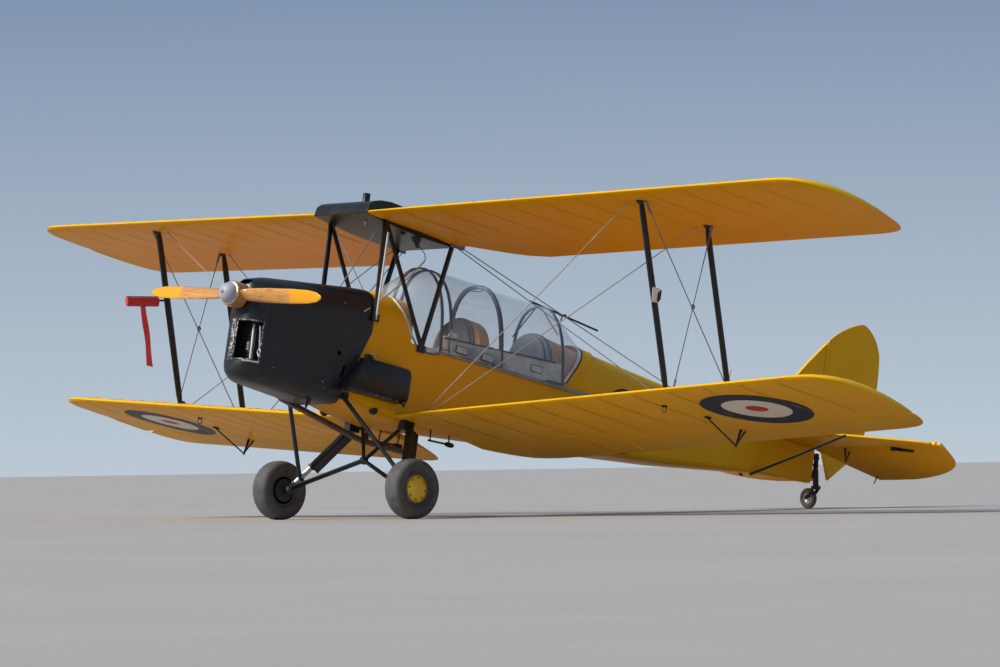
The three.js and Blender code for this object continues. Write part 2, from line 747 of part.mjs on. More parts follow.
// Windscreen from the front decking to its own hoop
function windscreen(keepOut) {
  const { front, rear, frontLean, rearLean, frontHalf, frontTop } = WINDSCREEN;
  const foot = CANOPY.sill - 65;
  const hoop = (x, wider) => ({ x, half: CANOPY.half - 8 + wider, top: CANOPY.top - 2 + wider, foot, lean: rearLean });
  const screen = archShell(
    [{ x: front, half: frontHalf, top: frontTop, shoulder: 40, foot, lean: frontLean }, hoop(rear, 0)],
    GLASS,
  );
  const frame = archShell([hoop(rear + SEAT_GAP, 3), hoop(rear + HOOP_WIDE, 3)], HOOP);
  return { glass: largest(cut(screen, ...keepOut)), frame: largest(cut(frame, ...keepOut)) };
}

function sillRail(keepOut) {
  const { front, rear, inner, outer, low, high, brackets } = RAIL;
  const rail = box(front, rear, inner, outer, low, high);
  const arms = brackets.map((x) => box(x, x + 30, 200, inner + 2, low, high - 6));
  return largest(cut(join(rail, ...arms), ...keepOut));
}

// Rod that steadies the rear hood as it slides, standing on its rear hoop
function guideRod() {
  const line = rod(v3(3080, 0, 619), v3(3845, 0, 548), 12, 10);
  const foot = box(3166, 3182, -6, 6, CANOPY.top - REAR_HOOD.inset - 6, 610);
  return join(line, foot);
}

// Seats and what stands in the cockpits

function seat(x) {
  const pan = box(x - 190, x + 190, -195, 195, -400, -378);
  const back = sidePrism(
    [
      [x + 165, -400],
      [x + 190, -400],
      [x + 255, 60],
      [x + 232, 60],
    ],
    -195,
    195,
  );
  const side = (y) =>
    sidePrism(
      [
        [x - 190, -400],
        [x + 185, -400],
        [x + 216, -180],
        [x - 150, -300],
      ],
      y,
      y + 12,
    );
  const stand = box(x - 120, x + 120, -120, 120, COCKPIT.floor + 14 + SEAT_GAP, -395);
  return join(pan, back, side(-195), side(183), stand);
}

function cockpitFloor() {
  const { front, rear, half, floor, seats } = COCKPIT;
  const board = box(front + 1, rear - 1, 1 - half, half - 1, floor + SEAT_GAP, floor + 14);
  const sticks = seats.map((x) => rod(v3(x - 300, 0, floor + 6), v3(x - 250, 0, -180), 24, 10));
  return join(board, ...sticks);
}

// Arched decking or headrest across the cockpit; a beam below ties it to the walls
function crossDeck(x0, x1, top0, top1, half, keepOut = []) {
  const end = (x, top) => ({ x, half, top, shoulder: 40, foot: -100, lean: 0 });
  const arched = archSolid([end(x0, top0), end(x1, top1)]);
  const beam = box(x0, min(x1, COCKPIT.rear - 1), SEAT_GAP - COCKPIT.half, COCKPIT.half - SEAT_GAP, -110, -60);
  return largest(cut(join(arched, beam), ...keepOut));
}

// Tail surfaces

function finSolid(keepOut) {
  const outline = (y) => [...rounded(FIN.edge, 3), FIN.foot].map(({ x, z }) => v3(x, y, z));
  const { x, nose, blocks } = RUDDER_HINGE;
  const lugs = blocks.map((z) => box(6470, x - nose - SEAT_GAP, -9, 9, z, z + 36));
  return largest(cut(join(loft([outline(-13), outline(13)]), ...lugs), ...keepOut));
}

// Thin surface with a round leading edge: sections give where it starts and ends along the flow
function surface(sections, spread) {
  return loft(
    sections.map((s) => {
      const deep = (share) => max(1.5, s.half * share);
      const place = (share, side) => spread(s, s.lead + share * (s.trail - s.lead), side);
      const over = [[0, 0.35], [0.06, 0.8], [0.25, 1], [1, s.blunt]].map(([share, k]) => place(share, deep(k)));
      const under = [[1, s.blunt], [0.25, 1], [0.06, 0.8], [0, 0.35]].map(([share, k]) => place(share, -deep(k)));
      return over.concat(under);
    }),
  );
}

function tailplaneSolid() {
  const rear = TAIL_HINGE.x - TAIL_HINGE.nose - RUNNING_GAP;
  const right = surface(
    rounded(TAILPLANE, 2).map(({ y, lead, half }) => ({ y, lead, trail: rear, half, blunt: 0.85 })),
    (s, x, off) => v3(x, s.y, TAIL_HINGE.z + off),
  );
  const blocks = TAIL_BLOCKS.map((y) =>
    box(rear - 8, TAIL_HINGE.x - TAIL_HINGE.nose - SEAT_GAP, y, y + 36, TAIL_HINGE.z - 8, TAIL_HINGE.z + 8),
  );
  const half = join(right, ...blocks);
  return join(half, mirror(half));
}

function elevatorSolid() {
  const right = surface(
    [...ELEVATOR.inner, ...rounded(ELEVATOR.outer, 2)].map(({ y, trail }) => ({
      y,
      lead: 0,
      trail,
      half: TAIL_HINGE.nose - 2,
      blunt: 0.12,
    })),
    (s, along, off) =>
      v3(
        TAIL_HINGE.x + along * cos(TAIL_HINGE.droop) - off * sin(TAIL_HINGE.droop),
        s.y,
        TAIL_HINGE.z - along * sin(TAIL_HINGE.droop) - off * cos(TAIL_HINGE.droop),
      ),
  );
  const tube = rod(
    v3(TAIL_HINGE.x, -1440, TAIL_HINGE.z),
    v3(TAIL_HINGE.x, 1440, TAIL_HINGE.z),
    2 * TAIL_HINGE.nose,
    24,
  );
  return join(right, mirror(right), tube);
}

function rudderSolid() {
  const blade = surface(
    [...RUDDER.foot, ...rounded(RUDDER.upper, 2)].map(({ z, lead, trail }) => ({
      z,
      lead,
      trail,
      half: RUDDER_HINGE.nose - 3,
      blunt: 0.15,
    })),
    (s, x, off) => v3(x, off, s.z),
  );
  const { x, low, high, nose } = RUDDER_HINGE;
  return join(blade, rod(v3(x, 0, low), v3(x, 0, high), 2 * nose, 24));
}

// Propeller: two carved blades on one boss

function propellerSolid() {
  const middle = (PROP.front + PROP.back) / 2;
  const arm = (turn) =>
    loft(
      BLADE.map(({ r, chord, thick, pitch }) => {
        const tilt = (pitch * PI) / 180;
        return Array.from({ length: 12 }, (_, i) => {
          const angle = (2 * PI * i) / 12;
          const [a, b] = [(cos(angle) * chord) / 2, (sin(angle) * thick) / 2];
          const across = a * cos(tilt) - b * sin(tilt);
          const deep = a * sin(tilt) + b * cos(tilt);
          return v3(middle + deep, r * PROP.radius, across).applyAxisAngle(v3(1, 0, 0), turn);
        });
      }),
    );
  const boss = rod(v3(PROP.front, 0, 0), v3(PROP.back, 0, 0), 2 * PROP.boss, 32);
  return join(boss, arm(PROP.angle), arm(PROP.angle + PI));
}

function spinnerSolid() {
  const base = PROP.front - SEAT_GAP;
  const steps = 6;
  const dome = Array.from({ length: steps + 1 }, (_, i) => {
    const angle = (PI / 2) * (i / steps);
    return [base - (base - SPINNER.tip - 16) * sin(angle), i === steps ? 14 : SPINNER.radius * pow(cos(angle), 0.85)];
  });
  const profile = [[base, 0], ...dome, [SPINNER.tip, 11], [SPINNER.tip, 0]];
  return turned(profile, 24, v3(0, 0, 0), v3(1, 0, 0));
}

function engine(keepOut) {
  const { front, rear, half, low, high } = ENGINE;
  const block = box(front, rear, -half, half, low, high);
  const shaft = rod(v3(PROP.back + SEAT_GAP, 0, 0), v3(front + 20, 0, 0), 76, 20);
  const bearers = [-85, 55].map((y) => box(rear - 10, 1300, y, y + 30, -280, -230));
  return largest(cut(join(block, shaft, ...bearers), ...keepOut));
}

// Landing gear

const ground = ({ x, y, z }) => fromGround(WHEEL.x + x, y, z);
const axleHeight = ({ radius, facets }) => radius * cos(PI / facets);

function gearLeg(keepOut) {
  const [hub, top, head] = [GEAR.hub, GEAR.top, GEAR.rod].map(ground);
  const height = axleHeight(WHEEL);
  const knuckle = ground({ x: 0, y: GEAR.hub.y, z: height });
  const parts = [
    rod(hub, top, 44, 12),
    solid(new THREE.SphereGeometry(44, 12, 8).translate(knuckle.x, knuckle.y, knuckle.z)),
    rod(knuckle, ground({ x: 0, y: WHEEL.track + 36, z: height }), 2 * WHEEL.axle, 24),
    blade(hub.clone().lerp(top, 0.36), hub.clone().lerp(top, 0.97), 128, 40),
    rod(hub.clone().lerp(top, 0.17), head, 34, 10),
    box(head.x, head.x + 46, head.y - 40, head.y + 4, head.z - 10, head.z + 48),
    box(top.x - 60, top.x + 44, top.y - 62, top.y + 4, top.z - 26, top.z + 60),
  ];
  return largest(cut(join(...parts), ...keepOut));
}

// Streamlined blade that trails behind a tube
function blade(from, to, chord, thick) {
  const along = to.clone().sub(from).normalize();
  const flow = v3(1, 0, 0).addScaledVector(along, -along.x).normalize();
  const side = along.clone().cross(flow);
  const half = [
    [-0.16, 0.42],
    [0.05, 0.5],
    [0.4, 0.34],
    [0.75, 0.06],
  ];
  const outline = [[-0.25, 0], ...half, ...half.map(([a, b]) => [a, -b]).reverse()];
  const ring = (centre) =>
    outline.map(([a, b]) => centre.clone().addScaledVector(flow, a * chord).addScaledVector(side, b * thick));
  return loft([ring(from), ring(to)]);
}

// The frame between the legs: two axle struts and two tubes up to the floor
function axleFrame(keepOut) {
  const apex = ground(GEAR.apex);
  const node = solid(new THREE.SphereGeometry(36, 10, 8).translate(apex.x, apex.y, apex.z));
  const arms = [1, -1].flatMap((side) => {
    const [hub, head] = [GEAR.hub, GEAR.frame].map((p) => ground({ ...p, y: p.y * side }));
    const shoe = box(head.x - 24, head.x + 24, head.y - 20, head.y + 20, head.z - 12, head.z + 50);
    return [bar(apex, hub, 58, 30, 12), rod(apex, head, 30, 10), shoe];
  });
  return largest(cut(join(node, ...arms), ...keepOut));
}

function tyre(width, radius, rim, facets, at, axis) {
  const [w, r] = [width / 2, radius - rim];
  const profile = [
    [0.62 * w, rim],
    [0.9 * w, rim + 0.22 * r],
    [w, rim + 0.52 * r],
    [0.86 * w, rim + 0.82 * r],
    [0.36 * w, radius],
    [-0.36 * w, radius],
    [-0.86 * w, rim + 0.82 * r],
    [-w, rim + 0.52 * r],
    [-0.9 * w, rim + 0.22 * r],
    [-0.62 * w, rim],
    [0.62 * w, rim],
  ];
  return turned(profile, facets, at, axis);
}

// Wheel disc with a blind bore for its axle, closed on the outside
function wheelHub(width, rim, bore, facets, at, axis) {
  const w = width / 2;
  const profile = [
    [0.74 * w, 0],
    [0.74 * w, 0.55 * rim],
    [0.62 * w, rim - 8],
    [0.52 * w, rim - SEAT_GAP],
    [-0.52 * w, rim - SEAT_GAP],
    [-0.6 * w, rim - 10],
    [-0.6 * w, bore],
    [0.5 * w, bore],
    [0.5 * w, 0],
  ];
  return turned(profile, facets, at, axis);
}

// Small hub open on both sides for its pin
function tailHub(width, rim, bore, facets, at, axis) {
  const w = width / 2;
  const half = [
    [0.62 * w, rim - SEAT_GAP],
    [0.7 * w, rim - 7],
    [0.4 * w, rim - 10],
    [0.4 * w, bore + 9],
    [1.1 * w, bore + 6],
    [1.1 * w, bore],
  ];
  const profile = [...half, ...half.map(([a, b]) => [-a, b]).reverse(), half[0]];
  return turned(profile, facets, at, axis);
}

function tailLeg(keepOut) {
  const top = v3(6546, 0, 78);
  const foot = fromGround(TAILWHEEL.x, 0, TAIL_STEM.top + SEAT_GAP);
  const sleeve = fromGround(TAILWHEEL.x, 0, TAIL_STEM.top + 110);
  const brackets = [46, -96].map((z) => box(STERN - 30, 6552, -17, 17, z - 20, z + 20));
  return largest(cut(join(rod(top, sleeve, 42, 16), rod(sleeve, foot, 50, 16), ...brackets), ...keepOut));
}

// Modelled level with the ground, like the wheels
function tailFork() {
  const { x, width, trail, axle } = TAILWHEEL;
  const at = (dx, y, z) => v3(x + dx, y, z);
  const hub = axleHeight(TAILWHEEL);
  const reach = width / 2 + 14;
  const arms = [-reach, reach].map((dx) => bar(at(dx, -6, TAIL_STEM.low - 8), at(dx, trail, hub), 13, 34, 8));
  const crown = rod(at(0, 0, TAIL_STEM.low - 26), at(0, 0, TAIL_STEM.top), 50, 16);
  const bridge = box(x - reach - 6, x + reach + 6, -16, 16, TAIL_STEM.low - 20, TAIL_STEM.low + 4);
  const pin = rod(at(-reach - 8, trail, hub), at(reach + 8, trail, hub), 2 * axle, 16);
  return join(crown, bridge, ...arms, pin);
}

function tailStrut(keepOut) {
  const [foot, head] = [v3(5742, 50, -262), v3(6003, 830, 112)];
  return largest(cut(bar(foot, head, 34, 16, 12), ...keepOut));
}

// The pressure tube on the starboard front strut, level with the ground, and its cloth cover
const pitotAt = (along) =>
  v3(PITOT.x - along * cos(GROUND_ANGLE), STRUT_Y, PITOT.z - along * sin(GROUND_ANGLE));

function pitotCover() {
  const tube = rod(pitotAt(0), pitotAt(PITOT.length), 16 + 2 * SEAT_GAP + 1, 12);
  const sleeve = bar(pitotAt(PITOT.cover), pitotAt(PITOT.length + 24), 36, 36, 14, [
    { at: 0, scale: 0.9 },
    { at: 0.3, scale: 1 },
    { at: 0.8, scale: 0.9 },
    { at: 1, scale: 0.6 },
  ]);
  return cut(sleeve, tube);
}

// Piece list

const airframe = new THREE.Group();
const level = new THREE.Group();

const FINISH = {
  yellow: { color: 0xf2a900, roughness: 0.42, metalness: 0 },
  black: { color: 0x17181a, roughness: 0.45, metalness: 0 },
  wood: { color: 0xc47a2c, roughness: 0.3, metalness: 0 },
  grey: { color: 0x9aa0a6, roughness: 0.4, metalness: 0.6 },
  aluminium: { color: 0xb4b6b8, roughness: 0.35, metalness: 0.8 },
  glass: { color: 0xdfe8ee, roughness: 0.05, metalness: 0, transparent: true, opacity: 0.3 },
  rubber: { color: 0x2b2c2e, roughness: 0.8, metalness: 0 },
  tan: { color: 0xa9743f, roughness: 0.7, metalness: 0 },
  slate: { color: 0x3c4654, roughness: 0.7, metalness: 0 },
  red: { color: 0xc8102e, roughness: 0.8, metalness: 0 },
};

function put(name, made, finish, parent = airframe) {
  const mesh = new THREE.Mesh(geometryOf(made), new THREE.MeshStandardMaterial(FINISH[finish]));
  mesh.name = name;
  parent.add(mesh);
}

// Fixed structure that other pieces are cut to
const cell = { upper: wingPanel(UPPER, UPPER_ROOT), whole: wingPanel(LOWER, LOWER_ROOT) };
const wings = { upper: cell.upper, lower: lowerWing(cell.whole) };
const tailplane = tailplaneSolid();
const body = fuselageShell(tailplane);
const cowl = nose();
const tank = fuelTank();

// A fixed solid with a seat gap on the side that another piece touches
const seatOn = (made, ...moves) => [made, ...moves.map(([x, y, z]) => shift(made, x, y, z))];
const beside = [0, SEAT_GAP, 0];
const under = [0, 0, -SEAT_GAP];
const over = [0, 0, SEAT_GAP];

const leg = gearLeg([...seatOn(body, beside, under), ...seatOn(wings.lower, under), ...seatOn(cowl.outside, beside)]);
const legSeats = [...seatOn(leg, [0, -SEAT_GAP, 0]), ...seatOn(mirror(leg), [0, SEAT_GAP, 0])];
const screen = windscreen(seatOn(body, over, [SEAT_GAP, 0, 0]));
const frontHood = hood(FRONT_HOOD);
const rearHood = hood(REAR_HOOD);
const seats = { front: seat(COCKPIT.seats[0]), rear: seat(COCKPIT.seats[1]) };

// Port and starboard pieces
const SIDES = [
  { name: "port", place: mirror },
  { name: "starboard", place: (made) => made },
];
const PAIRS = [
  { piece: "upper_wing", made: wings.upper, finish: "yellow" },
  { piece: "lower_wing", made: wings.lower, finish: "yellow" },
  { piece: "aileron", made: aileron(cell.whole), finish: "yellow" },
  {
    piece: "cabane",
    made: cabane([
      ...seatOn(body, beside),
      ...seatOn(cowl.outside, beside, [SEAT_GAP, 0, 0]),
      ...seatOn(tank, under),
      ...seatOn(wings.upper, under),
    ]),
    finish: "black",
  },
  { piece: "rear_interplane_strut", made: interplaneStrut("rear", wings), finish: "black" },
  { piece: "flying_wires", made: flyingWires(wings), finish: "grey" },
  { piece: "landing_wires", made: landingWires(wings), finish: "grey" },
  { piece: "cowl_side", made: cowl.side, finish: "black" },
  { piece: "sill_rail", made: sillRail(seatOn(body, beside)), finish: "aluminium" },
  { piece: "gear_leg", made: leg, finish: "black" },
  {
    piece: "tailplane_strut",
    made: tailStrut([...seatOn(body, beside, under), ...seatOn(tailplane, under)]),
    finish: "black",
  },
];
for (const { name, place } of SIDES) {
  for (const { piece, made, finish } of PAIRS) put(`${piece}_${name}`, place(made), finish);
}

// Front struts: a wind vane on the port one, the pressure tube on the starboard one
const frontStrut = interplaneStrut("front", wings);
put("front_interplane_strut_port", join(mirror(frontStrut), box(1696, 1790, -2821, -2816, 252, 326)), "black");
put("front_interplane_strut_starboard", join(frontStrut, rod(pitotAt(0), pitotAt(PITOT.length), 16, 12)), "black");
put("pitot_cover", pitotCover(), "red");

// Nose
put("nose_cowl", cowl.frame, "black");
put("engine_block", engine(seatOn(body, [-SEAT_GAP, 0, 0])), "grey");
put("oil_tank", oilTank([...seatOn(body, [0, -SEAT_GAP, 0], [-SEAT_GAP, 0, 0]), shift(cowl.outside, 0, -RUNNING_GAP, 0)]), "black");
put("exhaust_pipe", exhaustPipe([...seatOn(body, under), ...seatOn(cowl.outside, under)]), "black");
put("propeller", propellerSolid(), "wood");
put("spinner", spinnerSolid(), "aluminium");

// Middle
put("fuselage", body, "yellow");
put("fuel_tank", tank, "black");
put("cockpit_floor", cockpitFloor(), "grey");
put("seat_front", seats.front, "slate");
put("seat_rear", seats.rear, "slate");
put("headrest_front", crossDeck(2262, 2350 - SEAT_GAP, 305, 318, 262), "slate");
put("decking_middle", crossDeck(2350, 2570, 333, 380, 278), "tan");
put("headrest_rear", crossDeck(3122, 3172 - SEAT_GAP, 372, 372, 262), "slate");
put("decking_rear", crossDeck(3172, 3650, 362, 300, 274, seatOn(body, [-SEAT_GAP, 0, 0])), "tan");
put("windscreen_frame", screen.frame, "grey");
put("windscreen_glass", screen.glass, "glass");
put("hood_front_frame", frontHood.frame, "grey");
put("hood_front_glass", frontHood.glass, "glass");
put("hood_rear_frame", join(rearHood.frame, guideRod()), "grey");
put("hood_rear_glass", rearHood.glass, "glass");
put("hood_tail_glass", tailGlass(), "glass");

// Tail
put("fin", finSolid(seatOn(body, over)), "yellow");
put("rudder", rudderSolid(), "yellow");
put("tailplane", tailplane, "yellow");
put("elevator", elevatorSolid(), "yellow");
put("tail_leg", tailLeg(seatOn(body, [SEAT_GAP, 0, 0])), "black");

// Landing gear
put("axle_frame", axleFrame([...seatOn(body, under), ...legSeats]), "black");
for (const { name, place } of SIDES) {
  const centre = v3(WHEEL.x, WHEEL.track, axleHeight(WHEEL));
  const { width, radius, rim, axle, facets } = WHEEL;
  put(`tyre_${name}`, place(tyre(width, radius, rim, facets, centre, v3(0, 1, 0))), "rubber", level);
  put(`wheel_${name}`, place(wheelHub(width, rim, axle + SEAT_GAP, facets, centre, v3(0, 1, 0))), "yellow", level);
}
const { x, width, radius, rim, axle, facets, trail } = TAILWHEEL;
const tailCentre = v3(x, trail, axleHeight(TAILWHEEL));
put("tail_fork", tailFork(), "black", level);
put("tail_tyre", tyre(width, radius, rim, facets, tailCentre, v3(1, 0, 0)), "rubber", level);
put("tail_wheel", tailHub(width, rim, axle + SEAT_GAP, facets, tailCentre, v3(1, 0, 0)), "aluminium", level);

// Stand on the ground, nose up, centred over the origin
airframe.rotation.y = GROUND_ANGLE;
airframe.position.z = THRUST_HEIGHT;
const biplane = new THREE.Group();
biplane.add(airframe, level);
const bounds = new THREE.Box3().setFromObject(biplane, true);
biplane.position.x = -(bounds.min.x + bounds.max.x) / 2;

export default biplane;
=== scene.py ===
"""Finishes, glazing, rigging and fittings of a parked two-seat training biplane, over its fixed frame."""

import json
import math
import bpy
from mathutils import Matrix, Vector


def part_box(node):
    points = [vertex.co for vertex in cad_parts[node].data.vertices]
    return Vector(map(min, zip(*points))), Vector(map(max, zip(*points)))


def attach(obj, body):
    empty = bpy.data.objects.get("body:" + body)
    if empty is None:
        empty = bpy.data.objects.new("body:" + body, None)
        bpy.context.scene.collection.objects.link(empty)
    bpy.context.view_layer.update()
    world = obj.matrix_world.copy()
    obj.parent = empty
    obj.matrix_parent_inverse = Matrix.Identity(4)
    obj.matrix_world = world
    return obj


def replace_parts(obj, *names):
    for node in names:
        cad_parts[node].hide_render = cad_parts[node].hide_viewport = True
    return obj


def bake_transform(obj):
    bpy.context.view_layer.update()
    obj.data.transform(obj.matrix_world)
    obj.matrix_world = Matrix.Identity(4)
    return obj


bl_info = {
    "name": "Training Biplane",
    "version": (1, 0, 0),
    "blender": (4, 5, 0),
    "location": "View3D > Sidebar > Biplane",
    "description": "Builds the finishes, rigging and fittings of a two-seat training biplane",
    "category": "Object",
}

import bmesh
import bpy
from bpy.props import FloatProperty, FloatVectorProperty, PointerProperty
from mathutils import Matrix, Vector
from mathutils.bvhtree import BVHTree

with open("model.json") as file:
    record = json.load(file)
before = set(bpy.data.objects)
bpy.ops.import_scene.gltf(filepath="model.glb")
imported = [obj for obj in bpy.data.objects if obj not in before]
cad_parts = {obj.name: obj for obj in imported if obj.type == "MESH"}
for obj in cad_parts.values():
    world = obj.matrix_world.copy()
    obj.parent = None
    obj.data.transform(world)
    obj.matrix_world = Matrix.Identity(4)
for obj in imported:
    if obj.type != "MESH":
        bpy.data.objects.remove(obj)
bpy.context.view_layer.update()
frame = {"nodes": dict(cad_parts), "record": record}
NODES = frame["nodes"]
BODY_OF = {node: body for body, nodes in frame["record"]["behaviour"]["bodies"].items() for node in nodes}

# How the airframe stands: nose-up pitch, and where the thrust line's origin lies in the frame
PITCH = 0.20927
ORIGIN = Vector((-3.54625, 0.0, 1.7418))
AFT = Vector((math.cos(PITCH), 0.0, -math.sin(PITCH)))
UP = Vector((math.sin(PITCH), 0.0, math.cos(PITCH)))
SIDE = Vector((0.0, 1.0, 0.0))

# Wings, in airframe metres
CHORD = 1.34
THICKNESS = 0.072
CAMBER = 0.034
STRUT_Y = 2.818
SPARS = {"front": 0.188, "rear": 0.914}
UPPER = {"root": 0.312, "x": 0.969, "z": 0.855, "sweep": 0.1164, "dihedral": 0.044, "incidence": 0.069}
LOWER = {"root": 0.3134, "x": 1.544, "z": -0.6346, "sweep": 0.098, "dihedral": 0.0774, "incidence": 0.078}
RIB_PITCH = 0.335
RIB_Y = [0.645 + RIB_PITCH * i for i in range(11)]
RIB_ALONG = [0.03, 0.1, 0.2, 0.35, 0.55, 0.75, 0.95, 1.02]

# Rib tapes end at the trailing edge, or before the root's cut-out and the ailerons
TAPE_END = 1.3
TAPE_CUT = 1.0
ROOT_CUT_Y = 1.0
AILERON_Y = 1.6

# Wing roundels and aileron rods: how far out they lie, which differs from side to side
ROUNDEL_Y = {"port": 3.327, "starboard": 3.53}
AILERON_ROD_Y = {"port": 2.78, "starboard": 2.97}
ROUNDEL_ALONG = 0.605
BODY_ROUNDEL = {"x": 4.03, "z": -0.168, "radius": 0.262}
RED_SHARE = 0.2
WHITE_SHARE = 0.625
PAINT_EDGE = 0.001

# Aileron lever and rod: places along the chord, the lever's drop and rake, the rod's rings
LEVER = {"along": 1.07, "drop": 0.13, "rake": 0.035, "stay": 0.05}
ROD = {"along": 0.70, "radius": 0.006, "rings": 9}

# Small things under the lower wings: places out from the middle and along the chord
PICKET = {"y": 2.7, "along": 0.32, "radius": 0.022, "drop": 0.028}
PATCHES = {"y": (0.9, 1.3, 1.9, 2.6), "along": 0.86, "size": (0.075, 0.075, 0.003)}

# Cowl side panel: outline as (x, z), grown over its gaps, on a plane that spreads aft
PANEL = [(0.253, -0.013), (1.084, 0.088), (1.084, -0.122), (0.911, -0.557), (0.253, -0.557)]
PANEL_FRONT = {"x": 0.262, "y": 0.195, "spread": 0.139}
PANEL_SLOT = [(0.966, -0.36), (0.986, -0.36), (0.964, -0.46), (0.944, -0.46)]

# Engine cylinders and their cooling fins, one above the other
CYLINDER_X = (0.32, 0.48, 0.64, 0.8)
FINS = {"count": 11, "pitch": 0.026, "barrel": 0.108, "radius": 0.128}

# Fuel lines as (x, y, z): the hose from the tank's cock, the pipe that it meets, and the pipe down the cabane
HOSE_ROUTE = [
    (1.61, -0.212, 0.74),
    (1.66, -0.208, 0.72),
    (1.715, -0.198, 0.69),
    (1.737, -0.188, 0.65),
    (1.725, -0.19, 0.622),
]
PIPE_ROUTE = [
    (1.726, -0.19, 0.63),
    (1.66, -0.202, 0.558),
    (1.5, -0.234, 0.41),
    (1.3, -0.272, 0.245),
    (1.16, -0.298, 0.14),
    (1.08, -0.314, 0.088),
]
DOWN_ROUTE = [(1.18, -0.345, 0.735), (1.183, -0.345, 0.1), (1.19, -0.335, 0.05), (1.2, -0.3, 0.03)]

# Windscreen, port half: foot on the decking and edge under the hoop, each as (x, y, z)
SCREEN_ROWS = [
    ((1.500, 0.000, 0.315), (1.838, 0.000, 0.614)),
    ((1.480, -0.120, 0.290), (1.841, -0.100, 0.597)),
    ((1.455, -0.210, 0.257), (1.845, -0.170, 0.555)),
    ((1.465, -0.256, 0.222), (1.850, -0.215, 0.508)),
    ((1.495, -0.284, 0.181), (1.856, -0.250, 0.450)),
    ((1.520, -0.300, 0.130), (1.862, -0.272, 0.395)),
    ((1.554, -0.309, 0.073), (1.868, -0.289, 0.345)),
    ((1.600, -0.312, 0.005), (1.878, -0.300, 0.253)),
    ((1.657, -0.313, -0.055), (1.887, -0.304, 0.170)),
    ((1.720, -0.313, -0.078), (1.895, -0.306, 0.100)),
    ((1.779, -0.313, -0.086), (1.902, -0.308, 0.040)),
    ((1.840, -0.313, -0.083), (1.908, -0.309, -0.010)),
    ((1.901, -0.313, -0.074), (1.913, -0.310, -0.058)),
]
PALE_ROWS = 8

# Rim of the rear hood's glass tail, port half, as (x, y, z)
TAIL_RIM = [
    (3.560, 0.000, 0.352),
    (3.556, -0.071, 0.347),
    (3.546, -0.128, 0.332),
    (3.530, -0.176, 0.309),
    (3.508, -0.216, 0.276),
    (3.482, -0.247, 0.239),
    (3.450, -0.271, 0.195),
    (3.412, -0.287, 0.144),
    (3.365, -0.293, 0.080),
    (3.315, -0.294, 0.000),
]

# Where the decking's cover meets the fuselage behind that rim, port half
TAIL_FOOT = [
    (3.700, 0.000, 0.342),
    (3.695, -0.071, 0.338),
    (3.681, -0.128, 0.324),
    (3.659, -0.176, 0.303),
    (3.628, -0.218, 0.273),
    (3.589, -0.250, 0.236),
    (3.544, -0.274, 0.192),
    (3.491, -0.289, 0.141),
    (3.424, -0.294, 0.077),
    (3.330, -0.294, -0.012),
]

# Hoods: hoops' ends, outer half width, and the skirts' top edge
HOODS = {
    "hood_front": {"front": 1.914, "rear": 2.495, "half": 0.316},
    "hood_rear": {"front": 2.470, "rear": 3.186, "half": 0.298},
}
HOOP_WIDE = 0.024
RIVET_PITCH = 0.045
RIVET_START = 0.02
SKIRT = {"x": 2.324, "z": 0.079, "slope": 0.0537, "foot": -0.038}
LATCHES = [("hood_front", 2.137, 0.007), ("hood_front", 2.417, 0.006), ("hood_rear", 2.968, 0.035)]

# Cockpits: place, top and half width of the headrest, and place of the seat
COCKPITS = {
    "front": {"rest": 2.327, "top": 0.3, "half": 0.205, "seat": 1.917},
    "rear": {"rest": 3.122, "top": 0.355, "half": 0.235, "seat": 2.777},
}

# Stuffed pads, from back to front: share of the outline, share of the depth
PAD_RINGS = (
    (0.93, 0.0),
    (1.0, 0.2),
    (1.01, 0.42),
    (0.985, 0.64),
    (0.92, 0.82),
    (0.8, 0.93),
    (0.62, 0.98),
    (0.4, 1.0),
    (0.18, 1.0),
)
CREASE_WIDE = 0.012
CREASE_DEEP = 0.22

# Wheels, from the ground
WHEEL_X = ORIGIN.x + 1.124
WHEEL_Z = 0.23088
TRACK = 0.774
TYRE = {"width": 0.168, "radius": 0.232, "rim": 0.118}
WHEEL_BOLTS = {"count": 8, "circle": 0.083, "out": 0.0605}
TAIL_X = ORIGIN.x + 6.4
TAIL_Z = 0.08593
TAIL_Y = 0.088

# Half section of a main tyre from bead to tread: share of the half width, share of the depth
TYRE_SECTION = [
    (0.6, 0.0),
    (0.72, 0.1),
    (0.86, 0.18),
    (0.965, 0.36),
    (1.0, 0.52),
    (0.98, 0.66),
    (0.93, 0.76),
    (0.84, 0.86),
    (0.7, 0.93),
    (0.5, 0.98),
    (0.22, 1.0),
]

# Shock strut in each leg, port or starboard: foot at the axle and head, in the frame
OLEO = {"foot_y": 0.652, "foot_z": 0.243, "head_x": 0.372, "head_y": 0.345, "head_z": 0.705}

# Streamer of the pitot cover: lengths of drop and sway, half width, and how many rows
STREAMER = {"drop": 0.5, "sway": 0.055, "half": 0.031, "rows": 25}

SIDES = (("port", -1), ("starboard", 1))


def at(x, y, z):
    """Airframe point in the frame: x aft of the propeller, y to starboard, z up from the thrust line."""
    return ORIGIN + AFT * x + SIDE * y + UP * z


def way(x, y, z):
    """Airframe direction in the frame."""
    return (AFT * x + SIDE * y + UP * z).normalized()


def on_wing(wing, y, along, off=0.0):
    """Point at a span station and a distance along the chord, `off` above the chord line."""
    out = abs(y) - wing["root"]
    c, s = math.cos(wing["incidence"]), math.sin(wing["incidence"])
    x = wing["x"] + wing["sweep"] * out + along * c + off * s
    return at(x, y, wing["z"] + wing["dihedral"] * out - along * s + off * c)


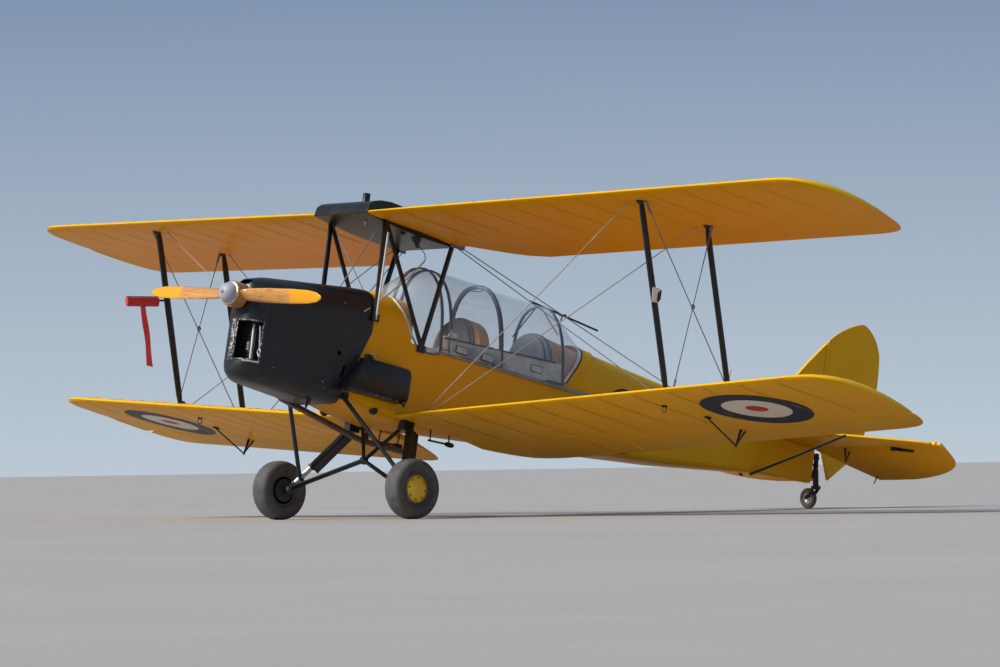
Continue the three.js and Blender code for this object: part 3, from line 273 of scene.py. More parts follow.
def on_skin(wing, y, along, side, gap=0.0):
    """Point on a wing's upper (side 1) or lower (side -1) skin, `gap` clear of it."""
    s = min(max(along / CHORD, 0.0), 1.0)
    half = 0.2969 * math.sqrt(s) - 0.126 * s - 0.3516 * s * s + 0.2843 * s**3 - 0.1036 * s**4
    rise = 4 * CAMBER * s * (1 - s) * CHORD
    return on_wing(wing, y, along, rise + side * (5 * THICKNESS * half * CHORD + gap))


def on_panel(sign, x, z, gap):
    """Point on a cowl side panel, `gap` outside it."""
    out = PANEL_FRONT["y"] + (x - PANEL_FRONT["x"]) * PANEL_FRONT["spread"]
    return at(x, sign * (out + gap), z)


def skirt_top(x):
    """Height of the hood skirts' top edge at a place along the airframe."""
    return SKIRT["z"] + SKIRT["slope"] * (x - SKIRT["x"])


def caster(node):
    """Ray tree over a solid of the frame."""
    bm = bmesh.new()
    bm.from_mesh(NODES[node].data)
    tree = BVHTree.FromBMesh(bm)
    bm.free()
    return tree


def cast(tree, start, along, gap=0.0):
    """Where a ray first meets a solid, `gap` clear of its face."""
    place, normal, _, _ = tree.ray_cast(start, along)
    return place + normal * gap


def settled(tree, spot):
    """The spot itself, or the point 2 mm over the solid where the spot is more than 4 mm away from it."""
    near, normal, _, gap = tree.find_nearest(spot)
    return spot if gap < 0.004 else near + normal * 0.002


def mirrored(path):
    """A port half path of (x, y, z) and its starboard half, as one row of frame points."""
    return [at(*p) for p in reversed(path)] + [at(x, -y, z) for x, y, z in path[1:]]


def ring_turns(count):
    """Angles of equal steps round a full turn."""
    return [2 * math.pi * k / count for k in range(count)]


def circle(centre, across, over, radius, count):
    """Ring of points about a centre, from one direction towards the other."""
    return [centre + (across * math.cos(t) + over * math.sin(t)) * radius for t in ring_turns(count)]


def swollen(value, power):
    """A sine or cosine raised to a power, with its sign kept."""
    return math.copysign(abs(value) ** power, value)


def mesh_of(bm, name):
    """Mesh of a bmesh, which is freed."""
    mesh = bpy.data.meshes.new(name)
    bm.to_mesh(mesh)
    bm.free()
    return mesh


def linked(name, data):
    """Object of that data, put into the scene."""
    made = bpy.data.objects.new(name, data)
    bpy.context.scene.collection.objects.link(made)
    return made


class Shape:
    """Closed mesh parts that are put together into one piece."""

    def __init__(self):
        self.bm = bmesh.new()

    def rings(self, rings, capped=True):
        """Skin through rings of equal point count."""
        rows = [[self.bm.verts.new(p) for p in ring] for ring in rings]
        count = len(rows[0])
        for low, high in zip(rows, rows[1:]):
            for i in range(count):
                j = (i + 1) % count
                self.bm.faces.new((low[i], low[j], high[j], high[i]))
        if capped:
            self.bm.faces.new(rows[0][::-1])
            self.bm.faces.new(rows[-1])
        return self

    def tube(self, points, radius, sides=10, flat=1.0, closed=False):
        """Round or flattened tube along points; radius is one number or one for each point."""
        points = [Vector(p) for p in points]
        radii = radius if hasattr(radius, "__len__") else [radius] * len(points)
        count = len(points)
        rings = []
        up = None
        for i, (p, r) in enumerate(zip(points, radii)):
            before = points[(i - 1) % count] if closed or i else p
            after = points[(i + 1) % count] if closed or i + 1 < count else p
            along = (after - before).normalized()
            start = up or (SIDE if abs(along.y) < 0.9 else AFT)
            up = (start - along * start.dot(along)).normalized()
            side = along.cross(up)
            rings.append(
                [p + side * (r * math.cos(t)) + up * (r * flat * math.sin(t)) for t in ring_turns(sides)]
            )
        if closed:
            rings.append(rings[0])
        return self.rings(rings, capped=not closed)

    def block(self, centre, size, axes=(AFT, SIDE, UP)):
        """Box of full sizes along three axes."""
        half = [axis * (s / 2) for axis, s in zip(axes, size)]
        low = [centre - half[2] + a * half[0] + b * half[1] for a, b in ((-1, -1), (1, -1), (1, 1), (-1, 1))]
        return self.rings([low, [p + 2 * half[2] for p in low]])

    def turned(self, centre, axis, profile, sides=24):
        """Body turned about an axis; profile is (along, radius) and its ends are capped."""
        axis = Vector(axis).normalized()
        up = axis.orthogonal().normalized()
        side = axis.cross(up)
        return self.rings([circle(centre + axis * a, side, up, max(r, 1e-4), sides) for a, r in profile])

    def ball(self, centre, radius):
        made = bmesh.ops.create_uvsphere(self.bm, u_segments=14, v_segments=8, radius=radius)
        bmesh.ops.translate(self.bm, verts=made["verts"], vec=centre)
        return self

    def ribbon(self, first, second, outward, gap, thick):
        """Strip between two paths, lifted off them by `gap` along one direction for each point."""
        return self.rings(
            [
                [a + n * gap, b + n * gap, b + n * (gap + thick), a + n * (gap + thick)]
                for a, b, n in zip(first, second, outward)
            ]
        )

    def plate(self, outline, lift, low, high):
        """Flat sheet on an outline of pairs; `lift` places a pair at a height over the surface."""
        return self.rings([[lift(*pair, low) for pair in outline], [lift(*pair, high) for pair in outline]])

    def piece(self, name, finish, body="airframe", angle=40, bevel=0.0):
        """Object with its faces outwards, riding on a body."""
        bmesh.ops.remove_doubles(self.bm, verts=self.bm.verts, dist=2e-5)
        bmesh.ops.recalc_face_normals(self.bm, faces=self.bm.faces)
        return placed(name, mesh_of(self.bm, name), finish, body, angle, bevel)


def placed(name, mesh, finish, body, angle=40, bevel=0.0):
    """Object of a mesh with one finish, shaded smooth below an angle, riding on a body if one is named."""
    made = linked(name, mesh)
    mesh.materials.clear()
    mesh.materials.append(finish_named(finish))
    mesh.polygons.foreach_set("use_smooth", [True] * len(mesh.polygons))
    mesh.set_sharp_from_angle(angle=math.radians(angle))
    if bevel:
        modifier = made.modifiers.new("soft edges", "BEVEL")
        modifier.width = bevel
        modifier.segments = 2
        modifier.angle_limit = math.radians(40)
        modifier.harden_normals = True
    if body:
        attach(made, body)
    return made


def dressed(node, finish, angle=32, bevel=0.0):
    """Smoothly shaded piece that stands for a solid of the frame."""
    bm = bmesh.new()
    bm.from_mesh(NODES[node].data)
    bmesh.ops.remove_doubles(bm, verts=bm.verts, dist=2e-5)
    bmesh.ops.dissolve_limit(bm, angle_limit=math.radians(0.6), verts=bm.verts, edges=bm.edges)
    name = node + "_skin"
    made = placed(name, mesh_of(bm, name), finish, BODY_OF[node], angle, bevel)
    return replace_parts(made, node)


# Finishes


class Finish:
    """Material with short calls for the nodes that its pattern needs."""

    def __init__(self, name, colour, roughness=0.5, metallic=0.0, coat=0.0):
        self.material = bpy.data.materials.new(name)
        self.material.use_nodes = True
        self.tree = self.material.node_tree
        self.shader = self.tree.nodes["Principled BSDF"]
        self.shader.inputs["Base Color"].default_value = (*colour[:3], 1)
        self.shader.inputs["Roughness"].default_value = roughness
        self.shader.inputs["Metallic"].default_value = metallic
        self.shader.inputs["Coat Weight"].default_value = coat
        self.shader.inputs["Coat Roughness"].default_value = 0.12
        self.place = self.tree.nodes.new("ShaderNodeTexCoord").outputs["Object"]

    def node(self, kind, inputs=(), **settings):
        made = self.tree.nodes.new(kind)
        for key, value in settings.items():
            setattr(made, key, value)
        for key, value in dict(inputs).items():
            self.feed(made.inputs[key], value)
        return made

    def feed(self, socket, value):
        if isinstance(value, bpy.types.NodeSocket):
            self.tree.links.new(value, socket)
        elif hasattr(value, "__len__") and len(value) == 3 and socket.type == "RGBA":
            socket.default_value = (*value, 1)
        else:
            socket.default_value = value

    def moved(self, centre=(0, 0, 0), turn=(0, 0, 0), scale=(1, 1, 1)):
        """Object coordinates measured from a centre, turned, then scaled."""
        near = self.node("ShaderNodeVectorMath", {0: self.place, 1: centre}, operation="SUBTRACT").outputs[0]
        return self.node("ShaderNodeMapping", {"Vector": near, "Rotation": turn, "Scale": scale}).outputs[0]

    def noise(self, scale, detail=3.0, roughness=0.55, vector=None):
        inputs = {"Vector": vector or self.place, "Scale": scale, "Detail": detail, "Roughness": roughness}
        return self.node("ShaderNodeTexNoise", inputs).outputs["Fac"]

    def ramp(self, factor, stops, interpolation="LINEAR"):
        made = self.node("ShaderNodeValToRGB", {"Fac": factor})
        made.color_ramp.interpolation = interpolation
        points = made.color_ramp.elements
        while len(points) < len(stops):
            points.new(0.5)
        for point, (position, colour) in zip(points, stops):
            point.position = position
            point.color = (*colour, 1) if hasattr(colour, "__len__") else (colour, colour, colour, 1)
        return made.outputs["Color"]

    def mix(self, factor, first, second, blend="MIX"):
        made = self.node("ShaderNodeMix", data_type="RGBA", blend_type=blend)
        for socket, value in ((made.inputs[0], factor), (made.inputs[6], first), (made.inputs[7], second)):
            self.feed(socket, value)
        return made.outputs[2]

    def maths(self, operation, first, second=0.5, third=0.0):
        made = self.node("ShaderNodeMath", {0: first, 1: second, 2: third}, operation=operation)
        return made.outputs[0]

    def part(self, vector, axis):
        return self.node("ShaderNodeSeparateXYZ", {0: vector}).outputs[axis]

    def bump(self, height, distance, strength=1.0):
        inputs = {"Height": height, "Distance": distance, "Strength": strength}
        if self.shader.inputs["Normal"].is_linked:
            inputs["Normal"] = self.shader.inputs["Normal"].links[0].from_socket
        self.feed(self.shader.inputs["Normal"], self.node("ShaderNodeBump", inputs).outputs[0])

    def colour(self, value):
        self.feed(self.shader.inputs["Base Color"], value)

    def rough(self, factor, low, high):
        value = self.node("ShaderNodeMapRange", {"Value": factor, "To Min": low, "To Max": high}).outputs[0]
        self.feed(self.shader.inputs["Roughness"], value)


def colours():
    return bpy.context.scene.biplane_colours


def fabric(name, rib=None):
    """Doped fabric: yellow over a fine weave, streaked along the flow and sunk between the ribs."""
    c = colours()
    f = Finish(name, c.yellow, 0.4, coat=0.06)
    f.shader.inputs["Specular IOR Level"].default_value = 0.1
    cloud = f.noise(1.7, 5, 0.6)
    tone = f.mix(f.ramp(cloud, [(0.35, 0.0), (0.7, 1.0)]), tuple(c.yellow), tuple(c.amber))
    streaks = f.noise(1.0, 5, 0.6, f.moved(scale=(0.7, 8.0, 2.0)))
    tone = f.mix(f.ramp(streaks, [(0.48, 0.0), (0.75, 0.5)]), tone, tuple(v * 0.82 for v in c.amber))
    if rib:
        axis, pitch, start = rib
        run = f.maths("ABSOLUTE", f.part(f.place, axis))
        share = f.maths("FRACT", f.maths("DIVIDE", f.maths("SUBTRACT", run, start), pitch))
        near = f.maths("MULTIPLY", f.maths("ABSOLUTE", f.maths("SUBTRACT", share, 0.5)), 2.0)
        sag = f.maths("POWER", near, 3.0)
        f.bump(sag, 0.003, 0.5)
        # Painted shadow: a darker amber line along each rib stands in for the rib's shadow in the fabric.
        line = f.ramp(near, [(0.9, 0.0), (0.96, 1.0)])
        tone = f.mix(f.maths("MULTIPLY", line, 0.14), tone, tuple(v * 0.8 for v in c.amber))
    # Painted shade: faces that look down or sideways are mixed towards the deeper underside colour.
    under = f.node("ShaderNodeAttribute", attribute_name="under").outputs["Fac"]
    tone = f.mix(f.maths("MULTIPLY", under, 0.85), tone, tuple(c.underside_shade))
    f.colour(tone)
    f.rough(cloud, 0.38, 0.55)
    f.bump(f.noise(900, 2, 0.5), 0.0004, 0.35)
    return f


def enamel(name, colour, rough=(0.28, 0.46), coat=0.2, dust=0.1, chips=0.0, shine=0.4):
    """Sprayed enamel, faintly uneven, with dust in the roughness and worn specks."""
    f = Finish(name, colour, rough[0], coat=coat)
    f.shader.inputs["Specular IOR Level"].default_value = shine
    cloud = f.noise(5.5, 6, 0.65)
    lighter = tuple(min(1.0, v * 1.7) for v in colour)
    tone = f.mix(f.ramp(cloud, [(0.45, 0.0), (0.75, 1.0)]), tuple(colour), lighter)
    specks = f.noise(130, 3, 0.7)
    dusty = f.maths("MULTIPLY", f.ramp(specks, [(0.68, 0.0), (0.74, 1.0)]), dust)
    tone = f.mix(dusty, tone, (0.5, 0.48, 0.44))
    if chips:
        edge = 0.66 - 0.32 * max(0.0, chips - 0.6)
        worn = f.maths("MULTIPLY", f.ramp(f.noise(46, 6, 0.8), [(edge, 0.0), (edge + 0.03, 1.0)]), chips)
        tone = f.mix(worn, tone, (0.55, 0.54, 0.52))
    f.colour(tone)
    f.rough(cloud, *rough)
    f.bump(f.noise(60, 3), 0.0006, 0.2)
    return f


def metal(name, colour, rough=(0.25, 0.5), streak=(6, 60, 60), dull=0.5):
    """Bare metal with drawn streaks and duller clouds."""
    f = Finish(name, colour, rough[0], metallic=1.0)
    streaks = f.noise(6, 5, 0.6, f.moved(scale=streak))
    cloud = f.noise(7, 6, 0.7)
    tone = f.mix(f.ramp(cloud, [(0.4, 0.0), (0.7, dull)]), tuple(colour), tuple(v * 0.5 for v in colour))
    f.colour(f.mix(f.maths("MULTIPLY", streaks, 0.3), tone, tuple(v * 0.7 for v in colour)))
    f.rough(streaks, *rough)
    f.bump(streaks, 0.0004, 0.3)
    return f


def varnished_blade(name):
    """Laminated wood under varnish, with painted tips and a darker boss."""
    c = colours()
    f = Finish(name, c.wood, 0.25, coat=0.3)
    centre = tuple(at(0.036, 0, 0))
    near = f.moved(centre)
    grain = f.noise(5, 8, 0.62, f.moved(centre, scale=(34, 1.6, 34)))
    dark = tuple(v * 0.55 for v in c.wood)
    tone = f.ramp(grain, [(0.3, dark), (0.5, tuple(c.wood)), (0.72, (0.8, 0.42, 0.13))])
    f.rough(grain, 0.16, 0.3)
    reach = f.node("ShaderNodeVectorMath", {0: near}, operation="LENGTH").outputs["Value"]
    boss = f.maths("LESS_THAN", reach, 0.125)
    tone = f.mix(f.maths("MULTIPLY", boss, 0.6), tone, (0.3, 0.1, 0.03))
    tip = f.maths("GREATER_THAN", reach, 0.65)
    f.colour(f.mix(tip, tone, (0.84, 0.36, 0.001)))
    f.bump(grain, 0.0005, 0.25)
    return f


def glazing(name):
    """Clear sheet, faintly blue, with wiping marks and a stronger sheen at a slant."""
    c = colours()
    f = Finish(name, c.glass, 0.04)
    f.material.surface_render_method = "BLENDED"
    slant = f.node("ShaderNodeLayerWeight", {"Blend": 0.34}).outputs["Facing"]
    marks = f.noise(5, 6, 0.7, f.moved(scale=(1, 1, 9)))
    veil = f.maths("MULTIPLY", f.ramp(marks, [(0.45, 0.0), (0.75, 1.0)]), 0.05)
    f.feed(f.shader.inputs["Alpha"], f.maths("ADD", f.maths("MULTIPLY_ADD", slant, 0.26, 0.035), veil))
    f.shader.inputs["Specular IOR Level"].default_value = 0.9
    f.rough(marks, 0.02, 0.12)
    return f


def tyre_rubber(name):
    """Grey, scuffed rubber, dustier on its shoulders."""
    c = colours()
    f = Finish(name, c.rubber, 0.75)
    dust = f.noise(16, 7, 0.7)
    fine = f.noise(150, 3, 0.6)
    tone = f.mix(f.ramp(dust, [(0.35, 0.0), (0.7, 0.8)]), tuple(c.rubber), tuple(v * 2.1 for v in c.rubber))
    f.colour(f.mix(f.ramp(fine, [(0.6, 0.0), (0.75, 0.25)]), tone, (0.3, 0.29, 0.27)))
    f.rough(dust, 0.62, 0.88)
    f.bump(fine, 0.0008, 0.4)
    return f


def leather(name, colour, grain=260, rough=(0.5, 0.7)):
    """Padded leather cloth with a pebbled grain and rubbed patches."""
    f = Finish(name, colour, rough[0])
    cells = f.node("ShaderNodeTexVoronoi", {"Vector": f.place, "Scale": grain}).outputs["Distance"]
    rubbed = f.noise(9, 5, 0.65)
    f.colour(f.mix(f.ramp(rubbed, [(0.4, 0.0), (0.75, 0.6)]), tuple(colour), tuple(v * 1.5 for v in colour)))
    f.rough(rubbed, *rough)
    f.bump(cells, 0.0006, 0.5)
    return f


def cloth(name, colour, weave=700, shade=1.0):
    """Coarse cover cloth: crossed threads and faded patches."""
    colour = tuple(v * shade for v in colour)
    f = Finish(name, colour, 0.85)
    f.shader.inputs["Sheen Weight"].default_value = 0.4
    across, down = (
        f.node("ShaderNodeTexWave", {"Vector": f.place, "Scale": weave}, bands_direction=axis).outputs["Fac"]
        for axis in ("X", "Z")
    )
    fade = f.noise(14, 5, 0.6)
    faded = tuple(min(1, v * 1.4 + 0.05) for v in colour)
    f.colour(f.mix(f.ramp(fade, [(0.4, 0.0), (0.8, 0.5)]), colour, faded))
    f.bump(f.maths("MAXIMUM", across, down), 0.0005, 0.5)
    return f


def roundel_paint(name):
    """Flat disc paint: the rings are set by the distance from the disc's middle, kept as an attribute."""
    c = colours()
    f = Finish(name, c.roundel_blue, 0.4)
    reach = f.node("ShaderNodeAttribute", attribute_name="reach").outputs["Fac"]
    rings = ((0.0, c.roundel_red), (RED_SHARE, c.roundel_white), (WHITE_SHARE, c.roundel_blue))
    tone = f.ramp(reach, [(share, tuple(paint)) for share, paint in rings], "CONSTANT")
    worn = f.noise(12, 6, 0.7)
    f.colour(f.mix(f.ramp(worn, [(0.5, 0.0), (0.8, 0.06)]), tone, tuple(c.amber)))
    f.shader.inputs["Specular IOR Level"].default_value = 0.15
    f.rough(worn, 0.4, 0.55)
    return f


# Finishes by name: slot, maker, and what the maker is given, where a text names a colour of the panel.
# Enamel is given colour, roughness from and to, coat, dust, chips and shine; metal its colour, roughness,
# streaks along each axis and dullness; leather its colour and grain; cloth its colour, weave and shade.
FINISHES = {
    "doped fabric": ("yellow", fabric),
    "wing fabric": ("yellow", fabric, ("Y", RIB_PITCH, 0.31)),
    "tail fabric": ("yellow", fabric, ("Y", 0.26, 0.1)),
    "cowl enamel": ("black", enamel, "black", (0.3, 0.46), 0.12, 0.05),
    "tank enamel": ("black", enamel, "black", (0.24, 0.4), 0.05, 0.04, 0.0, 0.25),
    "strut enamel": ("black", enamel, "black", (0.38, 0.55), 0.0, 0.06, 0.15),
    "chipped enamel": ("black", enamel, (0.03, 0.03, 0.03), (0.4, 0.6), 0.0, 0.5, 1.0),
    "wheel enamel": ("yellow_metal", enamel, "wheel", (0.4, 0.6), 0.1, 0.25, 0.2),
    "bare steel": ("steel", metal, (0.36, 0.36, 0.35), (0.3, 0.5)),
    "oleo steel": ("steel", metal, (0.6, 0.58, 0.55), (0.42, 0.6)),
    # Painted light: the same steel wire is painted a warm pale tone for the lit flying wires, with the yellow
    # fabric's reflection, and a dark grey for the shaded landing, incidence and bracing wires.
    "wire steel": ("steel", enamel, (0.34, 0.29, 0.23), (0.5, 0.65), 0.0, 0.3, 0.0, 0.05),
    "wire grey": ("steel", enamel, (0.16, 0.17, 0.19), (0.6, 0.75), 0.0, 0.1, 0.0, 0.03),
    "burnt steel": ("steel", metal, (0.2, 0.17, 0.15), (0.4, 0.6)),
    "worn aluminium": ("aluminium", metal, "aluminium", (0.45, 0.65), (1.5, 40, 40), 0.8),
    "sealing strip": ("aluminium", enamel, (0.5, 0.48, 0.45), (0.45, 0.6), 0.0, 0.3),
    "pale tag": ("aluminium", enamel, (0.7, 0.69, 0.62), (0.5, 0.7), 0.0, 0.2),
    "hood frame grey": ("grey", enamel, "grey", (0.3, 0.5), 0.15, 0.2, 0.3),
    "rail grey": ("grey", enamel, (0.2, 0.205, 0.22), (0.3, 0.5), 0.1, 0.2, 0.3),
    "casting grey": ("grey", enamel, (0.24, 0.24, 0.23), (0.5, 0.75), 0.0, 0.4, 0.6),
    "casting dark": ("grey", enamel, (0.03, 0.03, 0.031), (0.45, 0.7), 0.0, 0.2, 0.3),
    "varnished blade": ("wood", varnished_blade),
    "spinner grey": ("grey", enamel, (0.36, 0.37, 0.41), (0.4, 0.5), 0.0, 0.1),
    "pale ring": ("grey", metal, (0.78, 0.77, 0.75), (0.3, 0.45), (6, 60, 60), 0.2),
    "hood glazing": ("glass", glazing),
    "tyre rubber": ("tyre", tyre_rubber),
    "decking tan": ("tan", leather, "tan", 190),
    "headrest slate": ("slate", leather, "slate"),
    "cover cloth": ("red", cloth, "red"),
    "cover hem": ("red", cloth, "red", 700, 0.35),
    "streamer cloth": ("red", cloth, (0.75, 0.035, 0.06)),
    "white pouch": ("aluminium", cloth, (0.72, 0.73, 0.75), 500),
    # Near-black painted shade that stands in for holes and recesses.
    "dark hollow": ("black", enamel, (0.0005, 0.0005, 0.0005), (0.9, 1.0), 0.0, 0.0, 0.0, 0.0),
    "roundel paint": ("yellow", roundel_paint),
}


def finish_named(name):
    """The finish of that name, made on first use."""
    if name not in bpy.data.materials:
        _, maker, *given = FINISHES[name]
        maker(name, *[getattr(colours(), value) if isinstance(value, str) else value for value in given])
    return bpy.data.materials[name]


def reshaped(piece, move):
    """Moves every point of a carried-over piece's mesh: `move` takes and gives airframe (x, y, z)."""
    for v in piece.data.vertices:
        near = v.co - ORIGIN
        v.co = at(*move(near.dot(AFT), near.y, near.dot(UP)))
    return piece


def paint_facing_shade(piece, side=0.0, down=1.0):
    """Stores how far each face looks down or sideways, so that the fabric is warmer there."""
    mesh = piece.data
    layer = mesh.attributes.new("under", "FLOAT", "FACE")
    values = [max(0.0, min(down, (-f.normal.z - 0.1) * 3), side * abs(f.normal.y)) for f in mesh.polygons]
    layer.data.foreach_set("value", values)
    return piece


# Rows and repeats by Geometry Nodes


def tree_with(name, sockets):
    """Empty node tree with geometry in and out and the named number inputs."""
    tree = bpy.data.node_groups.new(name, "GeometryNodeTree")
    tree.interface.new_socket("Geometry", in_out="INPUT", socket_type="NodeSocketGeometry")
    for label, kind, value in sockets:
        made = tree.interface.new_socket(label, in_out="INPUT", socket_type=kind)
        if kind != "NodeSocketMaterial":
            made.default_value = value
    tree.interface.new_socket("Geometry", in_out="OUTPUT", socket_type="NodeSocketGeometry")
    return tree, tree.nodes.new("NodeGroupInput"), tree.nodes.new("NodeGroupOutput")


def grown(name, source, tree, inputs, finish, body, angle=40):
    """Applies a tree to a source mesh and turns the result into a plain piece."""
    base = bpy.data.objects.new(name + "_base", source)
    bpy.context.scene.collection.objects.link(base)
    modifier = base.modifiers.new("grow", "NODES")
    modifier.node_group = tree
    for item in tree.interface.items_tree:
        if item.item_type == "SOCKET" and item.in_out == "INPUT" and item.name in inputs:
            modifier[item.identifier] = inputs[item.name]
        if item.item_type == "SOCKET" and item.in_out == "INPUT" and item.name == "Finish":
            modifier[item.identifier] = finish_named(finish)
    base.update_tag()
    graph = bpy.context.evaluated_depsgraph_get()
    mesh = bpy.data.meshes.new_from_object(base.evaluated_get(graph))
    bpy.data.objects.remove(base)
    mesh.name = name
    return placed(name, mesh, finish, body, angle)


def fastener_tree():
    """Round-headed fasteners on points, turned to each point's `facing`."""
    if "Fastener row" in bpy.data.node_groups:
        return bpy.data.node_groups["Fastener row"]
    sockets = [
        ("Head radius", "NodeSocketFloat", 0.006),
        ("Head height", "NodeSocketFloat", 0.004),
        ("Finish", "NodeSocketMaterial", None),
    ]
    tree, given, result = tree_with("Fastener row", sockets)
    head = tree.nodes.new("GeometryNodeMeshCone")
    head.inputs["Vertices"].default_value = 12
    shrink = tree.nodes.new("ShaderNodeMath")
    shrink.operation = "MULTIPLY"
    shrink.inputs[1].default_value = 0.55
    facing = tree.nodes.new("GeometryNodeInputNamedAttribute")
    facing.data_type = "FLOAT_VECTOR"
    facing.inputs["Name"].default_value = "facing"
    turn = tree.nodes.new("FunctionNodeAlignRotationToVector")
    turn.axis = "Z"
    spread = tree.nodes.new("GeometryNodeInstanceOnPoints")
    real = tree.nodes.new("GeometryNodeRealizeInstances")
    paint = tree.nodes.new("GeometryNodeSetMaterial")
    for a, b in (
        (given.outputs["Geometry"], spread.inputs["Points"]),
        (given.outputs["Head radius"], head.inputs["Radius Bottom"]),
        (given.outputs["Head radius"], shrink.inputs[0]),
        (shrink.outputs[0], head.inputs["Radius Top"]),
        (given.outputs["Head height"], head.inputs["Depth"]),
        (head.outputs["Mesh"], spread.inputs["Instance"]),
        (facing.outputs["Attribute"], turn.inputs["Vector"]),
        (turn.outputs["Rotation"], spread.inputs["Rotation"]),
        (spread.outputs["Instances"], real.inputs["Geometry"]),
        (real.outputs["Geometry"], paint.inputs["Geometry"]),
        (given.outputs["Finish"], paint.inputs["Material"]),
        (paint.outputs["Geometry"], result.inputs["Geometry"]),
    ):
        tree.links.new(a, b)
    return tree


def fasteners(name, places, finish, body="airframe", radius=0.006, height=0.004):
    """Piece with one fastener at each (point, outward direction)."""
    mesh = bpy.data.meshes.new(name + "_points")
    mesh.from_pydata([p for p, _ in places], [], [])
    layer = mesh.attributes.new("facing", "FLOAT_VECTOR", "POINT")
    layer.data.foreach_set("vector", [v for _, n in places for v in n])
    return grown(name, mesh, fastener_tree(), {"Head radius": radius, "Head height": height}, finish, body)


def tape_tree():
    """Flat tapes along every edge path."""
    if "Rib tapes" in bpy.data.node_groups:
        return bpy.data.node_groups["Rib tapes"]
    sockets = [
        ("Tape width", "NodeSocketFloat", 0.03),
        ("Tape height", "NodeSocketFloat", 0.0015),
        ("Finish", "NodeSocketMaterial", None),
    ]
    tree, given, result = tree_with("Rib tapes", sockets)
    paths = tree.nodes.new("GeometryNodeMeshToCurve")
    upright = tree.nodes.new("GeometryNodeSetCurveNormal")
    upright.mode = "Z_UP"
    profile = tree.nodes.new("GeometryNodeCurvePrimitiveQuadrilateral")
    skin = tree.nodes.new("GeometryNodeCurveToMesh")
    skin.inputs["Fill Caps"].default_value = True
    real = tree.nodes.new("GeometryNodeRealizeInstances")
    paint = tree.nodes.new("GeometryNodeSetMaterial")
    for a, b in (
        (given.outputs["Geometry"], paths.inputs["Mesh"]),
        (paths.outputs["Curve"], upright.inputs["Curve"]),
        (upright.outputs["Curve"], skin.inputs["Curve"]),
        (given.outputs["Tape width"], profile.inputs["Width"]),
        (given.outputs["Tape height"], profile.inputs["Height"]),
        (profile.outputs["Curve"], skin.inputs["Profile Curve"]),
        (skin.outputs["Mesh"], real.inputs["Geometry"]),
        (real.outputs["Geometry"], paint.inputs["Geometry"]),
        (given.outputs["Finish"], paint.inputs["Material"]),
        (paint.outputs["Geometry"], result.inputs["Geometry"]),
    ):
        tree.links.new(a, b)
    return tree


def tapes(name, paths, finish, body="airframe", width=0.03, height=0.0015):
    """Piece with a flat tape along each path of points."""
    mesh = bpy.data.meshes.new(name + "_paths")
    points, edges = [], []
    for path in paths:
        edges += [(len(points) + i, len(points) + i + 1) for i in range(len(path) - 1)]
        points += path
    mesh.from_pydata(points, edges, [])
    return grown(name, mesh, tape_tree(), {"Tape width": width, "Tape height": height}, finish, body)


# Pieces


def pad(name, outline, out, depth, finish, body="airframe", creases=()):
    """Stuffed pad: a flat back on an outline, bulging sides and a crowned front with sewn creases."""
    middle = sum(outline, Vector()) / len(outline)
    rings = []
    for share, rise in PAD_RINGS:
        ring = []
        for p in outline:
            spot = middle + (p - middle) * share
            offs = [((spot - middle).dot(axis) - place) / CREASE_WIDE for axis, place in creases]
            dip = sum(math.exp(-(off**2)) for off in offs)
            ring.append(spot + out * (depth * rise * (1 - CREASE_DEEP * dip)))
        rings.append(ring)
    made = Shape().rings(rings).piece(name, finish, body, angle=80)
    soft = made.modifiers.new("rounded", "SUBSURF")
    soft.levels = soft.render_levels = 1
    return made


def rounded_outline(centre, across, over, half_across, half_over, count=40, power=3.2):
    """Rounded rectangle of points about a centre."""
    points = []
    for t in ring_turns(count):
        a, b = math.cos(t), math.sin(t)
        points.append(
            centre
            + across * (half_across * swollen(a, 2 / power))
            + over * (half_over * swollen(b, 2 / power))
        )
    return points


def build_camera():
    """Camera at the photograph's viewing angle."""
    s = bpy.context.scene.biplane_stage
    yaw, pitch, roll = s.camera_yaw, s.camera_pitch, s.camera_roll
    ahead = Vector((math.sin(yaw) * math.cos(pitch), math.cos(yaw) * math.cos(pitch), math.sin(pitch)))
    flat = Vector((math.cos(yaw), -math.sin(yaw), 0))
    over = flat.cross(ahead)
    right = flat * math.cos(roll) + over * math.sin(roll)
    over = over * math.cos(roll) - flat * math.sin(roll)
    data = bpy.data.cameras.new("view")
    data.sensor_width = 36
    data.lens = s.lens
    data.clip_end = 2000
    camera = linked("view", data)
    turn = Matrix((right, over, -ahead)).transposed().to_4x4()
    camera.matrix_world = Matrix.Translation(s.camera_place) @ turn
    bpy.context.scene.camera = camera


